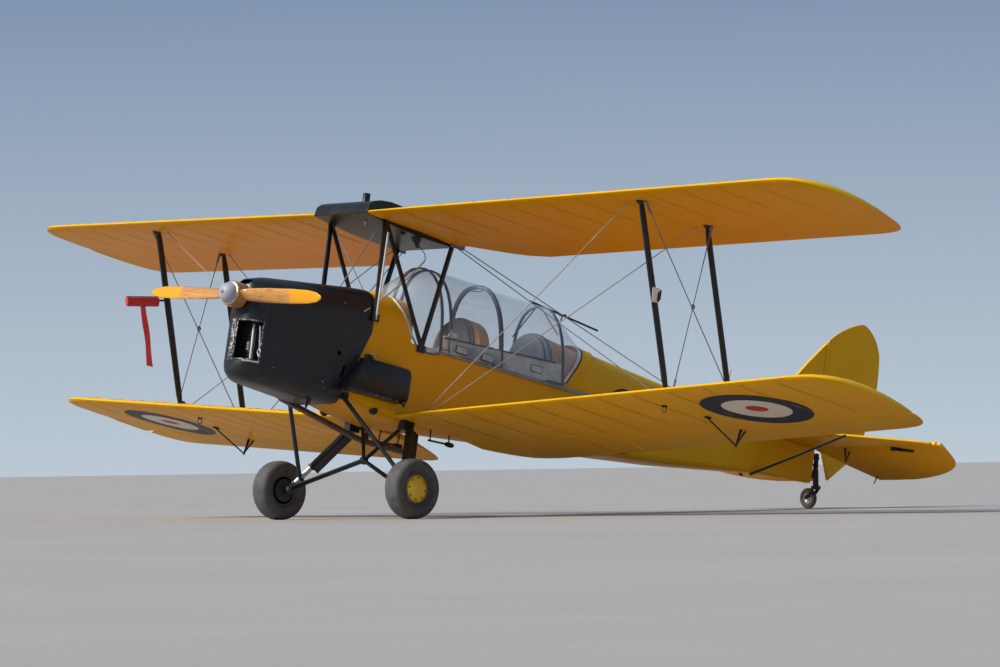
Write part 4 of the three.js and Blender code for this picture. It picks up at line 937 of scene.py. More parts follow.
def build_stage():
    """Pale floor, an even pale sky and one soft sun."""
    s = bpy.context.scene.biplane_stage
    bm = bmesh.new()
    bmesh.ops.create_circle(bm, cap_ends=True, segments=96, radius=900)
    floor = linked("floor", mesh_of(bm, "floor"))
    ground = Finish("pale floor", s.floor_colour, 0.85)
    patch = ground.noise(0.35, 6, 0.6)
    patches = ground.ramp(patch, [(0.3, 0.0), (0.7, 0.3)])
    ground.colour(ground.mix(patches, tuple(s.floor_colour), (0.5, 0.47, 0.43)))
    floor.data.materials.append(ground.material)
    world = bpy.data.worlds.new("even sky")
    world.use_nodes = True
    nodes, links = world.node_tree.nodes, world.node_tree.links
    back = nodes["Background"]
    back.inputs["Strength"].default_value = s.sky_strength
    height = nodes.new("ShaderNodeSeparateXYZ")
    fade = nodes.new("ShaderNodeValToRGB")
    stops = ((0.0, s.horizon_colour), (0.088, s.sky_colour))
    for point, (position, colour) in zip(fade.color_ramp.elements, stops):
        point.position = position
        point.color = (*colour, 1)
    links.new(nodes.new("ShaderNodeTexCoord").outputs["Generated"], height.inputs[0])
    links.new(height.outputs["Z"], fade.inputs["Fac"])
    links.new(fade.outputs["Color"], back.inputs["Color"])
    bpy.context.scene.world = world
    bpy.context.scene.view_settings.view_transform = "Standard"
    data = bpy.data.lights.new("soft sun", "SUN")
    data.energy = s.sun_strength
    data.angle = math.radians(20)
    data.color = (1, 0.96, 0.9)
    light = linked("soft sun", data)
    light.rotation_mode = "QUATERNION"
    light.rotation_quaternion = Vector(s.sun_from).to_track_quat("Z", "Y")


def roundel(name, radius, outward, lift):
    """Thin painted disc laid on a surface: `lift` gives the surface point for its two offsets."""
    bm = bmesh.new()
    reach = {}
    middle = bm.verts.new(lift(0, 0))
    reach[middle] = 0.0
    rows = []
    edges = [share + step for share in (RED_SHARE, WHITE_SHARE) for step in (-PAINT_EDGE, PAINT_EDGE)]
    for share in sorted([0.1, 0.41, 0.81, 1.0, *edges]):
        row = []
        for turn in ring_turns(64):
            vert = bm.verts.new(lift(share * radius * math.cos(turn), share * radius * math.sin(turn)))
            reach[vert] = share
            row.append(vert)
        rows.append(row)
    for k in range(64):
        j = (k + 1) % 64
        bm.faces.new((middle, rows[0][k], rows[0][j]))
        for low, high in zip(rows, rows[1:]):
            bm.faces.new((low[k], high[k], high[j], low[j]))
    bm.verts.index_update()
    values = [reach[v] for v in bm.verts]
    mesh = mesh_of(bm, name)
    layer = mesh.attributes.new("reach", "FLOAT", "POINT")
    layer.data.foreach_set("value", values)
    made = placed(name, mesh, "roundel paint", "airframe")
    if mesh.polygons[0].normal.dot(outward) < 0:
        mesh.flip_normals()
    return made


def tape_stations(wing, y):
    """Places along the chord of the points of a rib's tape."""
    whole = y > ROOT_CUT_Y and (wing is UPPER or y < AILERON_Y)
    last = TAPE_END if whole else TAPE_CUT
    return [a for a in RIB_ALONG if a < (last if wing is UPPER else TAPE_CUT)] + [last]


def build_wings():
    """Fabric wings and ailerons with rib tapes, roundels, picket rings and aileron rods."""
    sizes = bpy.context.scene.biplane_sizes
    for side, sign in SIDES:
        for which in ("upper_wing", "lower_wing", "aileron"):
            # Painted shade: fabric that faces down is painted a deeper amber, fully on the upper wings and
            # less on the lower ones.
            down = 1.0 if which == "upper_wing" else 0.7
            paint_facing_shade(dressed(f"{which}_{side}", "wing fabric", angle=38), down=down)
        paths = []
        for wing, node in ((UPPER, "upper_wing"), (LOWER, "lower_wing")):
            skin = caster(f"{node}_{side}")
            for y in RIB_Y:
                for face in (1, -1):
                    line = [on_skin(wing, sign * y, a, face, 0.0004) for a in tape_stations(wing, y)]
                    paths.append([settled(skin, spot) for spot in line])
        # Painted shade: the rib tapes are painted deeper where they face down.
        paint_facing_shade(tapes(f"rib_tapes_{side}", paths, "wing fabric", width=sizes.tape_width, height=0.0007))
        middle = sign * ROUNDEL_Y[side]
        roundel(
            f"roundel_{side}",
            sizes.roundel_radius,
            UP * -1,
            lambda a, b, middle=middle: on_skin(LOWER, middle + a, ROUNDEL_ALONG + b, -1, 0.002),
        )
        hook = Shape()
        spot = on_skin(LOWER, sign * PICKET["y"], PICKET["along"], -1)
        hook.tube(circle(spot - UP * PICKET["drop"], UP, AFT, PICKET["radius"], 16), 0.0032, 6, closed=True)
        hook.block(spot - UP * 0.003, (0.03, 0.03, 0.012))
        hook.piece(f"picket_ring_{side}", "strut enamel")
        build_aileron_rod(side, sign)
    box = Shape()
    for sign in (-1, 1):
        for y in PATCHES["y"]:
            box.block(on_skin(LOWER, sign * y, PATCHES["along"], -1, 0.001), PATCHES["size"])
    box.piece("inspection_patches", "doped fabric", bevel=0.001)


def build_aileron_rod(side, sign):
    """Lever under an aileron, the rod that moves it and the socket that the rod comes out of."""
    out = sign * AILERON_ROD_Y[side]
    horn = on_skin(LOWER, out, LEVER["along"], -1)
    foot = on_skin(LOWER, out, ROD["along"], -1)
    tip = horn - UP * LEVER["drop"] - AFT * LEVER["rake"]
    lever = Shape()
    lever.tube([horn + UP * 0.004, tip], [0.016, 0.008], 8, 0.45)
    lever.tube([horn + UP * 0.004 + AFT * LEVER["stay"], tip], [0.01, 0.006], 8, 0.5)
    lever.ball(tip, 0.011)
    lever.piece(f"aileron_horn_{side}", "strut enamel", f"aileron_{side}")
    start, end = foot - UP * 0.012, tip + (foot - tip).normalized() * 0.016
    shares = [k / (ROD["rings"] - 1) for k in range(ROD["rings"])]
    rod = Shape().tube([start.lerp(end, share) for share in shares], ROD["radius"], 10)
    bending = rod.piece(f"aileron_rod_{side}", "strut enamel", None)
    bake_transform(bending)
    socket = Shape().block(foot - UP * 0.006, (0.05, 0.026, 0.014))
    socket.piece(f"aileron_socket_{side}", "strut enamel")


def build_body():
    """Fabric and plywood fuselage with its tail surfaces, roundels and small scoops."""
    # Painted shade: the fuselage, fin and rudder are painted a deeper amber where they face down or sideways,
    # the tailplane and elevator where they face down.
    body = paint_facing_shade(dressed("fuselage", "doped fabric", angle=30), side=0.65)
    body.data.materials.append(finish_named("casting grey"))
    for face in body.data.polygons:
        if face.normal.dot(AFT) < -0.9:
            face.material_index = 1
    for node in ("fin", "rudder"):
        paint_facing_shade(dressed(node, "doped fabric", bevel=0.002), side=0.5)
    for node in ("tailplane", "elevator"):
        paint_facing_shade(dressed(node, "tail fabric", angle=40))
    bits = Shape()
    bits.tube([at(5.34, 0, 0.2), at(5.42, 0, 0.56)], [0.006, 0.002], 8)
    bits.ball(at(5.34, 0, 0.205), 0.012)
    bits.piece("whip_aerial", "strut enamel")
    hull = caster("fuselage")
    rods = Shape()
    for sign in (-1, 1):
        rods.tube([at(x, sign * 0.3, z) for x, z in ((1.93, -0.752), (2.1, -0.745), (2.2, -0.737))], 0.008, 8)
        sleeve = [(0, 0.016), (0.02, 0.02), (0.06, 0.02), (0.08, 0.01)]
        rods.turned(at(2.12, sign * 0.3, -0.744), AFT, sleeve, 14)
        for x, top in ((1.95, -0.66), (2.15, -0.645)):
            rods.tube([at(x, sign * 0.3, -0.745), at(x, sign * 0.29, top)], 0.006, 8)
    rods.piece("flap_rods", "strut enamel")
    for side, sign in SIDES:
        scoop = Shape()
        spot = cast(hull, at(1.337, sign * 0.285, -1.0), UP)
        dome = [(0, 0.036), (0.016, 0.034), (0.03, 0.022), (0.036, 0.006)]
        scoop.turned(spot + UP * 0.006, way(0.1, sign * 0.5, -1), dome, 20)
        scoop.piece(f"belly_scoop_{side}", "strut enamel")
        roundel(
            f"body_roundel_{side}",
            BODY_ROUNDEL["radius"],
            SIDE * sign,
            lambda a, b, sign=sign: cast(
                hull, at(BODY_ROUNDEL["x"] + a, sign, BODY_ROUNDEL["z"] + b), SIDE * -sign, 0.0015
            ),
        )


def build_nose():
    """Black cowl with its panels, fasteners, intake and what shows inside it."""
    for node in ("nose_cowl", "cowl_side_port", "cowl_side_starboard"):
        dressed(node, "cowl enamel", angle=34)
    dressed("oil_tank", "tank enamel", angle=44, bevel=0.004)
    dressed("fuel_tank", "tank enamel", angle=44, bevel=0.003)
    dressed("exhaust_pipe", "burnt steel", angle=44)
    dressed("engine_block", "casting dark", bevel=0.004)
    for side, sign in SIDES:
        body = f"cowl_side_{side}"
        skin = Shape()
        skin.plate(PANEL, lambda x, z, gap, sign=sign: on_panel(sign, x, z, gap), 0.0006, 0.0026)
        skin.piece(f"cowl_panel_{side}", "cowl enamel", body, bevel=0.0008)
        hinge = Shape()
        hinge.tube([at(0.262, sign * 0.196, -0.008), at(1.075, sign * 0.309, 0.092)], 0.0055, 10)
        hinge.piece(f"cowl_hinge_{side}", "cowl enamel")
        # Painted shade: a near-black disc and slot on each panel stand in for the shade inside its hole and
        # slot.
        holes = Shape()
        out = way(-PANEL_FRONT["spread"], sign, 0)
        holes.turned(on_panel(sign, 0.91, -0.277, 0.0024), out, [(0, 0.018), (0.0012, 0.018)], 24)
        holes.plate(PANEL_SLOT, lambda x, z, gap, sign=sign: on_panel(sign, x, z, gap), 0.0022, 0.0031)
        holes.piece(f"cowl_holes_{side}", "dark hollow", body)
        spots = ((0.345, -0.509), (0.8, -0.522))
        places = [(on_panel(sign, x, z, 0.0024), out) for x, z in spots]
        fasteners(f"panel_fasteners_{side}", places, "bare steel", body, 0.007, 0.004)
    build_engine()
    build_nose_fittings()


def build_engine():
    """Finned cylinders on the engine's block, and what is seen through the intake."""
    barrels = Shape()
    fins = []
    root, edge = FINS["barrel"], FINS["radius"]
    for k in range(FINS["count"]):
        low = FINS["pitch"] * k
        fins += [(low, root), (low + 0.001, edge), (low + 0.005, edge), (low + 0.006, root)]
    for x in CYLINDER_X:
        barrels.turned(at(x, 0, -0.47), UP, fins, 28)
    barrels.piece("engine_cylinders", "casting dark", angle=30)
    inside = Shape()
    inside.tube([at(0.21, -0.085, -0.475), at(0.198, -0.085, -0.2)], 0.013, 14)
    inside.tube([at(0.189, -0.2, -0.41), at(0.163, -0.2, -0.225)], 0.006, 10)
    coil = [
        at(0.158 + 0.014 * math.cos(t), -0.1 + 0.014 * math.sin(t), -0.41 + 0.0016 * i)
        for i, t in enumerate([2 * math.pi * k / 8 for k in range(40)])
    ]
    inside.tube(coil, 0.0026, 6)
    ring = [at(0.185, -0.2 + 0.016 * math.cos(t), -0.42 + 0.022 * math.sin(t)) for t in ring_turns(16)]
    inside.tube(ring, 0.0035, 6, closed=True)
    inside.ball(at(0.185, -0.21, -0.452), 0.013)
    inside.piece("intake_fittings", "oleo steel")


def build_nose_fittings():
    """Worn rim of the intake, cowl fasteners, vent, tank fittings and the fuel pipes."""
    cowl = caster("nose_cowl")
    rim = Shape()
    across = (-0.006, -0.05, -0.08, -0.115, -0.15, -0.178)
    edge = [(y, -0.182) for y in across] + [(y, -0.489) for y in reversed(across)]
    path = [cast(cowl, at(-0.4, y, z), AFT, 0.001) for y, z in edge]
    rim.tube(path, 0.0075, 8, closed=True)
    band = [cast(cowl, at(-0.4, 0.03, -0.17 - 0.033 * k), AFT) for k in range(11)]
    first, second = [p + SIDE * 0.022 for p in band], [p - SIDE * 0.02 for p in band]
    rim.ribbon(first, second, [AFT * -1] * len(band), 0.0006, 0.0016)
    rim.piece("intake_rim", "chipped enamel", angle=60)
    lip = Shape()
    lip.tube([cast(cowl, at(-0.4, y, -0.497), AFT, 0.002) for y in (-0.178, -0.14, -0.1)], 0.008, 10)
    lip.piece("intake_lip", "sealing strip")
    for side, sign in SIDES:
        places = []
        for x, z in ((0.9, 0.12), (0.815, -0.571)):
            spot, normal, _, _ = cowl.find_nearest(at(x, sign * 0.29, z))
            places.append((spot, tuple(normal)))
        fasteners(f"cowl_fasteners_{side}", places, "bare steel", "airframe", 0.006, 0.003)
    vent = Shape()
    low = [at(0.79, -0.16, -0.63), at(0.775, -0.16, -0.69), at(0.76, -0.16, -0.735)]
    vent.tube(low, [0.03, 0.02, 0.008], 12, 0.45)
    vent.piece("cowl_vent", "cowl enamel")
    cap = [(0, 0.03), (0.01, 0.03), (0.014, 0.024), (0.024, 0.023), (0.027, 0.014)]
    Shape().turned(at(1.15, -0.38, -0.278), UP, cap, 24).piece("oil_filler", "strut enamel")
    catch = Shape()
    curl = [at(1.165 + 0.02 * math.cos(t), -0.395, -0.25 + 0.02 * math.sin(t)) for t in ring_turns(18)]
    catch.tube(curl, 0.004, 6, closed=True)
    catch.turned(at(1.205, -0.39, -0.278), UP, [(0, 0.01), (0.012, 0.01), (0.016, 0.006), (0.02, 0.006)], 16)
    catch.piece("oil_filler_catch", "oleo steel")
    edge = [(at(x, -0.437, -0.548), way(0, -1, -0.3)) for x in (1.15, 1.22, 1.29, 1.36, 1.43, 1.5)]
    fasteners("oil_tank_bolts", edge, "bare steel", "airframe", 0.0055, 0.004)
    tap = [(0, 0.018), (0.012, 0.018), (0.014, 0.01), (0.03, 0.008)]
    Shape().turned(at(1.535, -0.4, -0.545), UP * -1, tap, 14).piece("oil_drain", "strut enamel")
    sump = [(0, 0.016), (0.014, 0.014), (0.018, 0.008), (0.034, 0.006)]
    Shape().turned(at(1.139, -0.108, 0.826), UP * -1, sump, 14).piece("tank_sump", "oleo steel")
    cock = Shape()
    funnel = [(-0.01, 0.045), (0.01, 0.04), (0.03, 0.024), (0.07, 0.012)]
    cock.turned(at(1.595, -0.212, 0.785), way(0.3, 0, -1), funnel, 16)
    cock.turned(at(1.42, -0.24, 0.79), UP * -1, [(-0.01, 0.02), (0.01, 0.02), (0.014, 0.012)], 14)
    cock.piece("tank_cock", "strut enamel")
    Shape().tube([at(*p) for p in HOSE_ROUTE], 0.0035, 8).piece("fuel_hose", "strut enamel")
    pipe = Shape()
    pipe.tube([at(*p) for p in PIPE_ROUTE], 0.0055, 8)
    pipe.tube([at(x + 0.01, y, z + 0.022) for x, y, z in PIPE_ROUTE[:4]] + [at(*PIPE_ROUTE[4])], 0.0035, 8)
    pipe.tube([at(*p) for p in DOWN_ROUTE], 0.0085, 10)
    pipe.piece("fuel_pipes", "sealing strip")


def build_propeller():
    """Varnished propeller with painted tips, and the spinner with its ring and bolts."""
    dressed("propeller", "varnished blade", angle=46)
    dressed("spinner", "spinner grey", angle=50)
    ring = Shape()
    section = [(-0.006, 0.085), (-0.004, 0.0885), (0.001, 0.0885), (0.001, 0.07)]
    ring.turned(at(-0.0135, 0, 0), AFT, section, 48)
    ring.piece("spinner_ring", "pale ring", "propeller")


def build_canopy():
    """Windscreen and sliding hoods: clear sheet between grey hoops over worn metal skirts."""
    for node in ("hood_front_glass", "hood_rear_glass"):
        dressed(node, "hood glazing", angle=50)
    tail = dressed("hood_tail_glass", "hood glazing", angle=50)
    end = HOODS["hood_rear"]["rear"]

    def shortened(x, y, z):
        share = math.sqrt(min(1.0, max(0.0, z / 0.12)))
        return end + (x - end) * (1 - 0.245 * share), y, z

    reshaped(tail, shortened)
    dressed("windscreen_frame", "hood frame grey", angle=44)
    for side, sign in SIDES:
        dressed(f"sill_rail_{side}", "rail grey", bevel=0.001)
    build_windscreen()
    for body, hood in HOODS.items():
        frame_skin = dressed(f"{body}_frame", "hood frame grey", angle=44)
        frame_skin.data.materials.append(finish_named("worn aluminium"))
        for face in frame_skin.data.polygons:
            x, z = (face.center - ORIGIN).dot(AFT), (face.center - ORIGIN).dot(UP)
            if hood["front"] + HOOP_WIDE < x < hood["rear"] - HOOP_WIDE and z < skirt_top(x) + 0.002:
                face.material_index = 1
        for side, sign in SIDES:
            rivets = []
            steps = int((hood["rear"] - hood["front"] - 2 * HOOP_WIDE - 2 * RIVET_START) / RIVET_PITCH)
            for k in range(steps + 1):
                x = hood["front"] + HOOP_WIDE + RIVET_START + RIVET_PITCH * k
                for z in (skirt_top(x) - 0.009, SKIRT["foot"] + 0.02):
                    rivets.append((at(x, sign * (hood["half"] - 0.0005), z), tuple(SIDE * sign)))
            fasteners(f"{body}_rivets_{side}", rivets, "worn aluminium", body, 0.0035, 0.0018)
            caps = Shape()
            ends = (hood["front"] + HOOP_WIDE, hood["rear"] - HOOP_WIDE)
            caps.ribbon(
                [at(x, sign * hood["half"], skirt_top(x) - 0.002) for x in ends],
                [at(x, sign * hood["half"], skirt_top(x) + 0.012) for x in ends],
                [SIDE * sign] * 2,
                0.0003,
                0.0022,
            )
            caps.piece(f"{body}_cap_{side}", "hood frame grey", body)
    for number, (body, x, z) in enumerate(LATCHES):
        for side, sign in SIDES:
            out = sign * HOODS[body]["half"]
            # Painted shade: a near-black plate under each latch stands in for the shade of its recess.
            for name, finish, a, b, low, high in (
                ("recess", "dark hollow", 0.066, 0.03, 0.0004, 0.0012),
                ("latch", "worn aluminium", 0.06, 0.025, 0.0010, 0.0036),
            ):
                corners = [(x - a, z - b), (x + a, z - b), (x + a, z + b), (x - a, z + b)]
                flap = Shape().plate(
                    corners, lambda p, q, gap, out=out, sign=sign: at(p, out + sign * gap, q), low, high
                )
                flap.piece(f"{name}_{number}_{side}", finish, body, bevel=0.0006)
    grip = Shape()
    bar = ((-0.055, 0.6), (-0.055, 0.572), (0.055, 0.572), (0.055, 0.6))
    grip.tube([at(2.497, y, z) for y, z in bar], 0.004, 8)
    grip.piece("hood_grip", "hood frame grey", "hood_front")
    build_hood_tail()


def build_windscreen():
    """Curved windscreen from its foot on the decking to its hoop, with the strip that seals the foot."""
    hull = caster("fuselage")
    foot = []
    edge = []
    for low, high in SCREEN_ROWS:
        near, normal, _, _ = hull.find_nearest(at(*low))
        foot.append(near + normal * 0.003)
        edge.append(at(*high))
    over = [(Vector((p.x, -p.y, p.z)), Vector((q.x, -q.y, q.z))) for p, q in zip(foot[1:], edge[1:])]
    rows = list(zip(foot, edge))[::-1] + over
    steps = 9
    bm = bmesh.new()
    grid = []
    for low, high in rows:
        swell = Vector((0.0, (low.y + high.y) / 2, 0.0)) + UP * 0.3
        swell.normalize()
        tall = min(1.0, (high - low).length / 0.4)
        shares = [i / steps for i in range(steps + 1)]
        grid.append([bm.verts.new(low.lerp(high, t) + swell * (0.05 * t * (1 - t) * tall)) for t in shares])
    for first, second in zip(grid, grid[1:]):
        for i in range(steps):
            bm.faces.new((first[i], first[i + 1], second[i + 1], second[i]))
    bmesh.ops.recalc_face_normals(bm, faces=bm.faces)
    name = "windscreen_sheet"
    sheet = placed(name, mesh_of(bm, name), "hood glazing", "airframe", angle=60)
    wall = sheet.modifiers.new("thickness", "SOLIDIFY")
    wall.thickness = 0.003
    wall.offset = 0
    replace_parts(sheet, "windscreen_glass")
    line = [p for p, _ in rows]
    last = len(foot) - PALE_ROWS
    pale = Shape()
    pale.tube(line[last : len(line) - last], 0.009, 8)
    pale.piece("windscreen_strip", "sealing strip", angle=70)
    for side, path in (("port", line[: last + 1]), ("starboard", line[len(line) - last - 1 :])):
        dark = Shape()
        dark.tube(path, 0.0065, 8)
        dark.piece(f"windscreen_edge_{side}", "hood frame grey", angle=70)


def build_hood_tail():
    """Rim of the glass tail, the fabric behind it, the guide rod over it and the stays in the rear hoop."""
    rim = mirrored(TAIL_RIM)
    middle = at(3.4, 0, 0.1)
    outward = [(p - middle - AFT * (p - middle).dot(AFT)).normalized() for p in rim]
    dark = Shape()
    dark.tube([p + n * 0.001 for p, n in zip(rim, outward)], 0.007, 8)
    dark.piece("hood_tail_rim", "strut enamel", "hood_rear", angle=70)
    pale = Shape()
    first = [p - AFT * 0.012 for p in rim]
    second = [p - AFT * 0.042 for p in rim]
    pale.ribbon(first, second, outward, 0.0035, 0.0015)
    pale.piece("hood_tail_strip", "sealing strip", "hood_rear", angle=70)
    cover = Shape()
    cover.ribbon([p - AFT * 0.02 for p in rim], mirrored(TAIL_FOOT), outward, 0.0, 0.002)
    # Painted shade: the cover is painted a deeper amber where it faces down or sideways.
    paint_facing_shade(cover.piece("decking_cover", "doped fabric", "hood_rear", angle=70), side=0.65)
    rod = Shape()
    rod.tube([at(3.075, 0, 0.6195), at(3.85, 0, 0.5475)], 0.0085, 12)
    rod.tube([at(3.447, -0.035, 0.588), at(3.447, 0.035, 0.588)], 0.007, 10)
    rod.tube([at(3.447, 0.0, 0.588), at(3.43, 0.0, 0.54)], 0.006, 10)
    for sign in (-1, 1):
        rod.tube([at(3.172, sign * 0.02, 0.598), at(3.178, sign * 0.262, 0.36)], 0.0055, 8)
    rod.piece("guide_rod", "strut enamel", "hood_rear")


def build_cockpits():
    """Seats, padded headrests and cushions, tan deckings, a cloth pouch and the floor."""
    rest = dressed("headrest_front", "headrest slate", angle=50, bevel=0.004)
    reshaped(rest, lambda x, y, z: (2.349 + (x - 2.349) * 0.25, y * 0.84, z * 1.03))
    dressed("headrest_rear", "headrest slate", angle=50, bevel=0.012)
    arch = dressed("decking_middle", "decking tan", angle=50, bevel=0.003)

    def lowered(x, y, z):
        back = x - 2.35
        return 2.35 + back * 0.5, y, z * (0.96 - 0.6 * back) if z > 0 else z

    reshaped(arch, lowered)
    dressed("decking_rear", "decking tan", angle=50, bevel=0.003)
    for node in ("seat_front", "seat_rear"):
        dressed(node, "rail grey", bevel=0.003)
    dressed("cockpit_floor", "casting grey", bevel=0.002)
    for name, place in COCKPITS.items():
        height = place["top"] + 0.07
        outline = []
        for t in ring_turns(48):
            a, b = math.cos(t), math.sin(t)
            reach = 1.0 if b > 0 else 0.35
            out = place["half"] * swollen(a, 0.8)
            outline.append(at(place["rest"] - 0.001, out, 0.04 + (height - 0.11) * reach * b))
        lean = way(0.145, 0, 1)
        seat = rounded_outline(at(place["seat"] - 0.005, 0, -0.378), SIDE, AFT, 0.175, 0.17)
        back = rounded_outline(at(place["seat"] + 0.2, 0, -0.17), SIDE, lean, 0.17, 0.17)
        # Pad, its outline, the way it faces, its depth, and its two creases either side of the middle
        for kind, edge, facing, depth, axis, off in (
            ("headrest_pad", outline, AFT * -1, 0.034, SIDE, 0.09),
            ("seat_cushion", seat, UP, 0.07, SIDE, 0.06),
            ("back_cushion", back, way(-1, 0, 0.145), 0.04, lean, 0.05),
        ):
            creases = ((axis, -off), (axis, off))
            pad(f"{kind}_{name}", edge, facing, depth, "headrest slate", creases=creases)
    outline = rounded_outline(at(2.0, -0.262, 0.035), AFT, UP, 0.052, 0.058, power=4)
    pad("cloth_pouch", outline, SIDE * -1, 0.03, "white pouch", creases=((UP, 0.03),))
    outline = rounded_outline(at(2.09, -0.23, 0.118), AFT, UP, 0.045, 0.02, power=3)
    pad("cloth_pouch_flap", outline, SIDE * -1, 0.02, "white pouch")


def build_struts():
    """Struts with their end fittings, and the covered pressure tube with its streamer."""
    for side, sign in SIDES:
        for node in ("cabane", "front_interplane_strut", "rear_interplane_strut"):
            post = dressed(f"{node}_{side}", "strut enamel", angle=50)
            if (node, side) == ("front_interplane_strut", "starboard"):
                for v in post.data.vertices:
                    v.co.x = max(v.co.x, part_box("pitot_cover")[0].x + 0.08)
        ends = Shape()
        for along in SPARS.values():
            for wing, face in ((LOWER, 1), (UPPER, -1)):
                spot = on_skin(wing, sign * STRUT_Y, along, face, -0.002)
                ends.turned(spot, UP * face, [(0, 0.034), (0.005, 0.034), (0.009, 0.026), (0.022, 0.02)], 20)
        ends.piece(f"strut_feet_{side}", "strut enamel")
    tag = Shape()
    tag.block(at(1.7, -2.856, 0.27), (0.075, 0.003, 0.11), (way(1, 0, 0.1), SIDE, way(-0.1, 0, 1)))
    tag.piece("strut_tag", "pale tag", bevel=0.001)
    clip = Shape()
    clip.block(at(1.73, -2.85, 0.262), (0.028, 0.022, 0.07))
    clip.piece("strut_clip", "strut enamel", bevel=0.003)
    low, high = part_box("pitot_cover")
    front, rear = low.x + 0.07, high.x + 0.01
    y, z = (low.y + high.y) / 2, (low.z + high.z) / 2 - 0.008
    bag = Shape()
    line = [Vector((x, y, z)) for x in (front, front + 0.1, front + 0.2, rear)]
    bag.tube(line, [0.038, 0.038, 0.037, 0.037], 24, 0.42)
    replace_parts(bag.piece("pitot_cover_bag", "cover cloth", angle=60), "pitot_cover")
    hem = Shape()
    for face in (-1, 1):
        hem.tube([Vector((x, y, z + face * 0.0385)) for x in (front, (front + rear) / 2, rear)], 0.0035, 8)
    for x in (front + 0.002, rear - 0.002):
        ring = [Vector((x, y + 0.0165 * math.cos(t), z + 0.038 * math.sin(t))) for t in ring_turns(24)]
        hem.tube(ring, 0.003, 6, closed=True)
    hem.piece("pitot_cover_hem", "cover hem")
    strip = bmesh.new()
    top = Vector(((front + rear) / 2 + 0.012, y, z - 0.03))
    rows = []
    for i in range(STREAMER["rows"]):
        t = i / (STREAMER["rows"] - 1)
        drop = top - Vector((0.0, 0.0, STREAMER["drop"] * t))
        sway = Vector((STREAMER["sway"] * t + 0.004 * math.sin(6 * t), 0.01 * math.sin(5 * t + 1), 0.0))
        row = []
        for w in (-1, -0.5, 0, 0.5, 1):
            curl = AFT * (w * STREAMER["half"]) + SIDE * (0.004 * math.sin(9 * t + w))
            row.append(strip.verts.new(drop + sway + curl))
        rows.append(row)
    for low, high in zip(rows, rows[1:]):
        for i in range(4):
            strip.faces.new((low[i], low[i + 1], high[i + 1], high[i]))
    name = "pitot_streamer"
    streamer = placed(name, mesh_of(strip, name), "streamer cloth", "airframe", angle=80)


def build_rigging():
    """Streamlined wires: flying, landing, incidence and centre-section bracing."""
    for side, sign in SIDES:
        # Painted light: the flying wires are painted a warm lit tone and the landing, incidence and bracing
        # wires a dark shaded grey.
        dressed(f"flying_wires_{side}", "wire steel", angle=50)
        dressed(f"landing_wires_{side}", "wire grey", angle=50)
        r = bpy.context.scene.biplane_sizes.wire_radius
        wires = Shape()
        low = [on_skin(LOWER, sign * (STRUT_Y + 0.06), SPARS[s], 1, -0.003) for s in ("front", "rear")]
        high = [on_skin(UPPER, sign * (STRUT_Y + 0.048), SPARS[s], -1, -0.003) for s in ("front", "rear")]
        wires.tube([low[0], high[1]], r, 8)
        wires.tube([low[1], high[0]], r, 8)
        wires.tube(circle(low[0].lerp(high[1], 0.5), AFT, UP, 0.015, 18), 0.006, 8, closed=True)
        for p, q in ((low[0], high[1]), (high[1], low[0]), (low[1], high[0]), (high[0], low[1])):
            wires.tube([p, p.lerp(q, 0.06)], r * 2.2, 8)
        wires.piece(f"incidence_wires_{side}", "wire grey")
    cross = Shape()
    for sign in (-1, 1):
        cross.tube([at(1.188, sign * 0.318, 0.08), at(1.15, -sign * 0.305, 0.84)], 0.004, 8)
    cross.piece("centre_bracing", "wire grey")


def build_gear():
    """Undercarriage legs and frame, with tyres and wheels."""
    for side, sign in SIDES:
        dressed(f"gear_leg_{side}", "strut enamel", angle=44)
        body = f"wheel_{side}"
        centre = Vector((WHEEL_X, sign * TRACK, WHEEL_Z))
        tyre = Shape()
        tyre.turned(centre, SIDE * sign, tyre_profile(TYRE["width"], TYRE["radius"], TYRE["rim"]), 96)
        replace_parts(tyre.piece(f"tyre_{side}_tread", "tyre rubber", body, angle=30), f"tyre_{side}")
        dressed(f"wheel_{side}", "wheel enamel", angle=44)
        disc = centre + SIDE * (sign * WHEEL_BOLTS["out"])
        bolts = circle(disc, AFT, UP, WHEEL_BOLTS["circle"], WHEEL_BOLTS["count"])
        places = [(spot, tuple(SIDE * sign)) for spot in bolts]
        fasteners(f"wheel_bolts_{side}", places, "strut enamel", body, 0.007, 0.006)
        ring = Shape()
        inner = centre - SIDE * (sign * 0.05)
        profile = [(0, 0.09), (0.01, 0.09), (0.012, 0.084), (0.012, 0.062), (0.018, 0.058), (0.018, 0.03)]
        ring.turned(inner, SIDE * -sign, profile, 40)
        ring.piece(f"brake_drum_{side}", "casting dark", body, angle=30)
        bead = Shape()
        for face, radius in ((0.0625, 0.108), (0.0805, 0.138)):
            bead.tube(circle(centre + SIDE * (sign * face), AFT, UP, radius, 64), 0.0035, 6, closed=True)
        bead.piece(f"tyre_rings_{side}", "tyre rubber", body, angle=70)
        hub = Vector((WHEEL_X, sign * OLEO["foot_y"], OLEO["foot_z"]))
        top = Vector((WHEEL_X + OLEO["head_x"], sign * OLEO["head_y"], OLEO["head_z"]))
        sleeve = Shape()
        sleeve.tube([hub.lerp(top, 0.07), hub.lerp(top, 0.345)], 0.0236, 16)
        sleeve.piece(f"oleo_sleeve_{side}", "oleo steel")
        collars = Shape()
        axis = top - hub
        collar = [(0, 0.027), (0.004, 0.031), (0.02, 0.031), (0.024, 0.027)]
        for share in (0.06, 0.16, 0.345):
            collars.turned(hub.lerp(top, share), axis, collar, 20)
        collars.piece(f"oleo_collars_{side}", "strut enamel")
    dressed("axle_frame", "strut enamel", angle=44)


def tyre_profile(width, radius, rim):
    """Closed section of a low-pressure tyre, from one bead round the tread to the other."""
    w, r = width / 2, radius - rim
    over = [(a * w, rim + b * r) for a, b in TYRE_SECTION]
    return over + [(-a, b) for a, b in reversed(over)]


